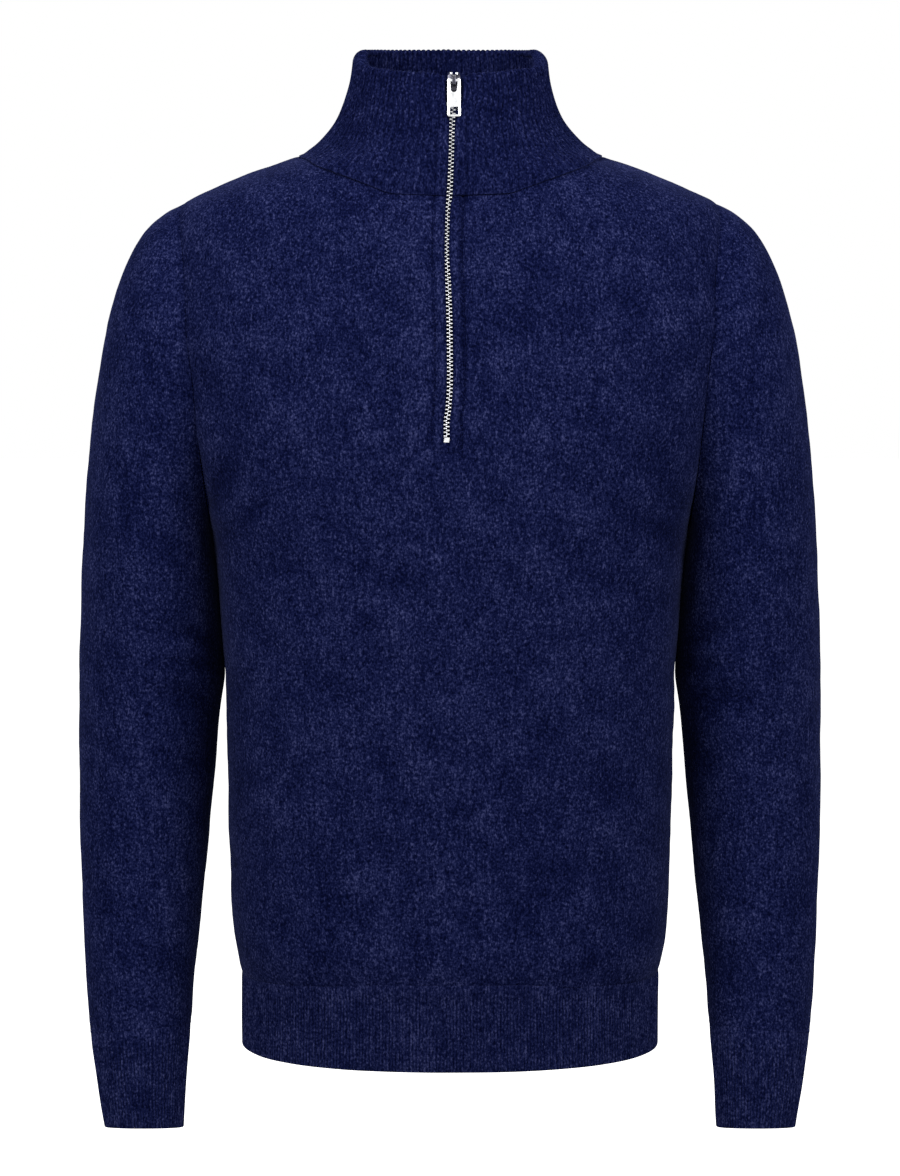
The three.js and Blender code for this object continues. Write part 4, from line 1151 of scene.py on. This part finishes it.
def seam_lines():
    """Every seam of the body as a line with its outward directions, and how deep its two sides lie."""
    round_it = np.linspace(0, 1, 400)
    opening = slit_angle(np.array(NECK_SEAM["front"][0]), 1) + 0.01
    neck_angle = opening + round_it * (2 * math.pi - 2 * opening)
    lines = [(*form_line(neck_angle, neck_edge_at(neck_angle) - SEAM_LAP / 2), 1.1, -0.3)]
    for side in (-1, 1):
        angle, height = armhole_on_form(round_it * 2 * math.pi, -SEAM_LAP / 2)
        lines.append((*form_line(side * angle, height), 1.1, 1.1))
        for low, high, count, sunk in (
            (HEM_SEAM["side"] + 1, ARMHOLE["bottom"] - 1, 200, 1.1),
            (ARMHOLE["top"] + 1, -1, 60, 1.1),
            (HEM_BOTTOM + 2, HEM_SEAM["side"] - 1, 60, 0.5),
        ):
            lines.append((*form_line(side * math.pi / 2, np.linspace(low, high, count)), sunk, sunk))
    for centre, face in ((0, "front"), (math.pi, "back")):
        angle = (2 * round_it - 1) * math.pi / 2
        height = row_height(HEM_SEAM["side"], HEM_SEAM[face], np.abs(angle), math.pi / 2, face) + SEAM_LAP / 2
        lines.append((*form_line(centre + angle, height), 1.1, 0.9))
    turn = round_it * 2 * math.pi
    for side in (-1, 1):
        ring = tube_ring(SLEEVE, SLEEVE_END, turn)[0] * np.array([side, 1, 1])
        middle = ring.mean(axis=0)
        lines.append((ring, unit(ring - middle), 1.0, 0.8))
    return lines


def navy_thread():
    """Twisted navy yarn, smooth beside the brushed wool."""
    thread = Finish("navy_thread", {"Roughness": 0.8, "Specular IOR Level": 0.0})
    place = thread.node("ShaderNodeTexCoord", {}, {}, "Object")
    twist = thread.noise(place, 1800, 1.0)
    # The thread's own navy, painted darker than the wool as painted shade of its sunken stitch lines.
    shades = [(0.35, (0.0014, 0.0022, 0.0150)), (0.65, (0.0050, 0.0072, 0.0380))]
    thread.coloured(shades, twist)
    return thread.material


sewing_navy = navy_thread()
seam_ends = [linking(*line) for line in seam_lines()]
starts, ends, outs = (np.concatenate([ends[k] for ends in seam_ends]) for k in range(3))
stitch_arc = [(0, -0.25, 0.5), (0.3, 0.22, 1), (0.7, 0.22, 1), (1, -0.25, 0.5)]
yarn_section = circle(LINKING["radius"], LINKING["corners"])
linking_stitches = rods("linking_stitches", starts, ends, outs, stitch_arc, yarn_section)
dress(linking_stitches, sewing_navy)


# The zip's tapes and sewing. Two woven navy tapes lie behind the slit, their beaded edges held by the teeth,
# and a row of navy thread sews them to the cloth, round a curved end under the zip.
TAPE = {"bottom": -207.5, "top": 54.2, "thickness": 0.8, "rows": 100, "columns": 25}
TONGUE = {"bottom": 55, "top": 59.5, "outer": 5, "rows": 5}
TAPE_FORM = table(
    "across depth bead",
    [
        (2.6, 3.5, 0.5),
        (3.1, 3.2, 0.8),
        (3.6, 3.5, 0.3),
        (4.3, 3.6, 0),
        (5.6, 3.5, 0),
        (7.0, 3.2, 0),
        (8.5, 3.05, 0),
        (11.5, 3.05, 0),
        (14.5, 3.05, 0),
    ],
)
TOP_STITCH = {"top": 52, "pitch": 3.5, "length": 2.7, "radius": 0.3, "corners": 6, "points": 260}
# The stitches lie this deep in the body's groove, and so much higher on the collar.
TOP_STITCH_SUNK = {"body": 0.72, "rise": 1.2}
IN_FRONT = 5


def along_zip(across, height, depth):
    """Points that far across from the zip's line, and that deep below the cloth's face."""
    angle = angle_across(height, read(ZIP_LINE, "across", height) + across)
    return form_point(angle, height) - form_normal(angle, height) * depth[..., None]


def zip_tape(side, name):
    """A strip whose depth and beaded edge follow its table across, with a tongue for the top stop."""
    plain = np.linspace(TAPE["bottom"], TAPE["top"], TAPE["rows"])
    tongue = np.linspace(TONGUE["bottom"], TONGUE["top"], TONGUE["rows"])
    places = np.linspace(TAPE_FORM["across"][0], TAPE_FORM["across"][-1], TAPE["columns"])
    across, height = np.meshgrid(places, np.concatenate([plain, tongue]))
    depth = read(TAPE_FORM, "depth", across)
    below = depth + TAPE["thickness"] + read(TAPE_FORM, "bead", across)
    kept = (height[1:, 1:] <= TAPE["top"]) | (across[1:, 1:] < TONGUE["outer"])
    face, back = along_zip(side * across, height, depth), along_zip(side * across, height, below)
    return panel(name, face, back, kept, 0 * height)


def woven_tape():
    """Tightly woven navy tape: fine slanting ribs, with the odd lighter thread."""
    tape = Finish("woven_navy_tape", {"Roughness": 0.8, "Specular IOR Level": 0.2})
    place = tape.node("ShaderNodeTexCoord", {}, {}, "Object")
    slanting = tape.node("ShaderNodeMapping", {}, {"Vector": place, "Rotation": (0, 0.7, 0)})
    ribs = tape.node("ShaderNodeTexWave", {}, {"Vector": slanting, "Scale": 420.0, "Distortion": 0.6}, "Fac")
    threads = tape.noise(place, 900, 1.0)
    shades = [(0.3, (0.003, 0.004, 0.014)), (0.7, (0.010, 0.013, 0.045))]
    tape.coloured(shades, ribs * 0.5 + threads * 0.5)
    tape.raised(ribs, 0.5, 0.0003)
    return tape.material


tape_cloth = woven_tape()
for side, name in ((1, "left"), (-1, "right")):
    tape = zip_tape(side, f"zip_tape_{name}_weave")
    dress(tape, tape_cloth, f"zip_tape_{name}")


def zip_stitch_line():
    """The stitches' line down one side of the zip, round its end and up the other, and one in front of it."""
    offset, corner = ZIP_STITCHES["offset"], ZIP_STITCHES["corner"]
    bend = np.linspace(0, math.pi / 2, 12)
    straight = np.linspace(TOP_STITCH["top"], ZIP_STITCHES["bottom"] + corner, TOP_STITCH["points"])
    across = np.concatenate([np.full(len(straight), offset), offset - corner + corner * np.cos(bend)])
    height = np.concatenate([straight, ZIP_STITCHES["bottom"] + corner - corner * np.sin(bend)])
    across = np.concatenate([across, -across[::-1]])
    height = np.concatenate([height, height[::-1]])
    on_collar = np.clip((height - NECK_SEAM["front"][0] - 1) / 3, 0, 1)
    sunk = TOP_STITCH_SUNK["body"] - TOP_STITCH_SUNK["rise"] * on_collar
    return along_zip(across, height, sunk), along_zip(across, height, np.full(height.shape, -IN_FRONT))


line, above_line = zip_stitch_line()
place, course, at, run = evenly_along(line, TOP_STITCH["pitch"])
out = unit(along_run(at, run, above_line - line))
half_stitch = course * TOP_STITCH["length"] / 2
stitch_arc = [(0, -0.35, 0.6), (0.18, 0.1, 1), (0.82, 0.1, 1), (1, -0.35, 0.6)]
thread_section = circle(TOP_STITCH["radius"], TOP_STITCH["corners"])
zip_stitches = rods("zip_stitches", place - half_stitch, place + half_stitch, out, stitch_arc, thread_section)
dress(zip_stitches, sewing_navy)


# The zip's metal. Nickel-plated teeth are clamped to the tapes' beads at an even pitch, the two rows set half
# a pitch apart so that their heads lock. Square stops end the rows, and a cast slider carries a flat tab.
TEETH = {"bottom": -198.0, "top": 47.6, "pitch": 2.7, "depth": 4.0}
TOOTH = {"outer": 3.0, "head": 0.5, "half_height": 0.5, "half_depth": 1.3}
SAME_POINT = 1e-6
FLAT_ANGLE = 0.01
ROUNDED_ANGLE = math.radians(30)


def nickel(name, colour, roughness):
    """Plated metal, faintly rubbed: soft patches of it are rougher and paler, others smoother and darker."""
    metal = Finish(name, {"Metallic": 1.0})
    place = metal.node("ShaderNodeTexCoord", {}, {}, "Object")
    rubbed = metal.noise(place, 260, 3.0, 0.6)
    grain = metal.noise(place, 1900, 1.0)
    darker = tuple(0.8 * value for value in colour)
    metal.coloured([(0.3, darker), (0.6, colour)], rubbed)
    metal.feed("Roughness", rubbed * 0.22 + (roughness - 0.11))
    metal.raised(grain, 0.12, 0.0001)
    return metal.material


def zip_teeth():
    """Bars from the tape's bead to a head past the middle, narrowed at the neck, from each side in turn."""
    starts, ends, outs = [], [], []
    for side, first in ((-1, 0), (1, 0.5)):
        count = int((TEETH["top"] - TEETH["bottom"]) / TEETH["pitch"] - first)
        height = TEETH["bottom"] + TEETH["pitch"] * (first + np.arange(count))
        depth = np.full(count, TEETH["depth"])
        starts.append(along_zip(np.full(count, side * TOOTH["outer"]), height, depth))
        ends.append(along_zip(np.full(count, -side * TOOTH["head"]), height, depth))
        outs.append(along_zip(np.zeros(count), height, depth * 0) - along_zip(np.zeros(count), height, depth))
    lengthwise = (0, 0.82), (0.07, 1), (0.42, 1), (0.56, 0.86), (0.72, 1), (0.94, 0.95), (1, 0.7)
    stations = [(share, 0, size) for share, size in lengthwise]
    tall, deep = TOOTH["half_height"], TOOTH["half_depth"]
    lower_half = [(-tall, -0.9), (-0.4, -deep), (0.4, -deep), (tall, -0.9)]
    section = lower_half + [(-side, -up) for side, up in lower_half]
    joined = (np.concatenate(starts), np.concatenate(ends), unit(np.concatenate(outs)))
    return rods("zip_teeth_metal", *joined, stations, section)


def finished_copy(node, name, edge):
    """A copy of a cast piece with its loose triangles joined and its edges rounded."""
    shape = bmesh.new()
    shape.from_mesh(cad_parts[node].data)
    bmesh.ops.remove_doubles(shape, verts=shape.verts, dist=SAME_POINT)
    bmesh.ops.dissolve_limit(shape, angle_limit=FLAT_ANGLE, verts=shape.verts, edges=shape.edges)
    bmesh.ops.triangulate(shape, faces=[face for face in shape.faces if len(face.verts) > 4])
    mesh = bpy.data.meshes.new(name)
    shape.to_mesh(mesh)
    shape.free()
    mesh.shade_smooth()
    piece = bpy.data.objects.new(name, mesh)
    bpy.context.scene.collection.objects.link(piece)
    rounded = piece.modifiers.new("rounded", "BEVEL")
    rounded.width = edge * MM
    rounded.segments = 2
    rounded.limit_method = "ANGLE"
    rounded.angle_limit = ROUNDED_ANGLE
    rounded.harden_normals = True
    return piece


bright_nickel = nickel("bright_nickel", (0.93, 0.94, 0.95), 0.22)
worn_nickel = nickel("worn_nickel", (0.74, 0.75, 0.78), 0.26)
# Painted reflection: the slider is the same nickel, painted dark to stand in for the dark reflections it
# shows.
nickel_painted_dark = nickel("nickel_painted_dark", (0.06, 0.06, 0.075), 0.26)
teeth = zip_teeth()
metal_pieces = [(teeth, "zip_teeth", worn_nickel)]
for node, edge, finish in (
    ("zip_slider", 0.2, nickel_painted_dark),
    ("zip_pull", 0.22, bright_nickel),
    ("zip_bottom_stop", 0.3, bright_nickel),
    ("zip_top_stop_left", 0.3, worn_nickel),
    ("zip_top_stop_right", 0.3, worn_nickel),
):
    metal_pieces.append((finished_copy(node, f"{node}_metal", edge), node, finish))
for piece, node, finish in metal_pieces:
    dress(piece, finish, node, "pull_tab" if node == "zip_pull" else "garment")
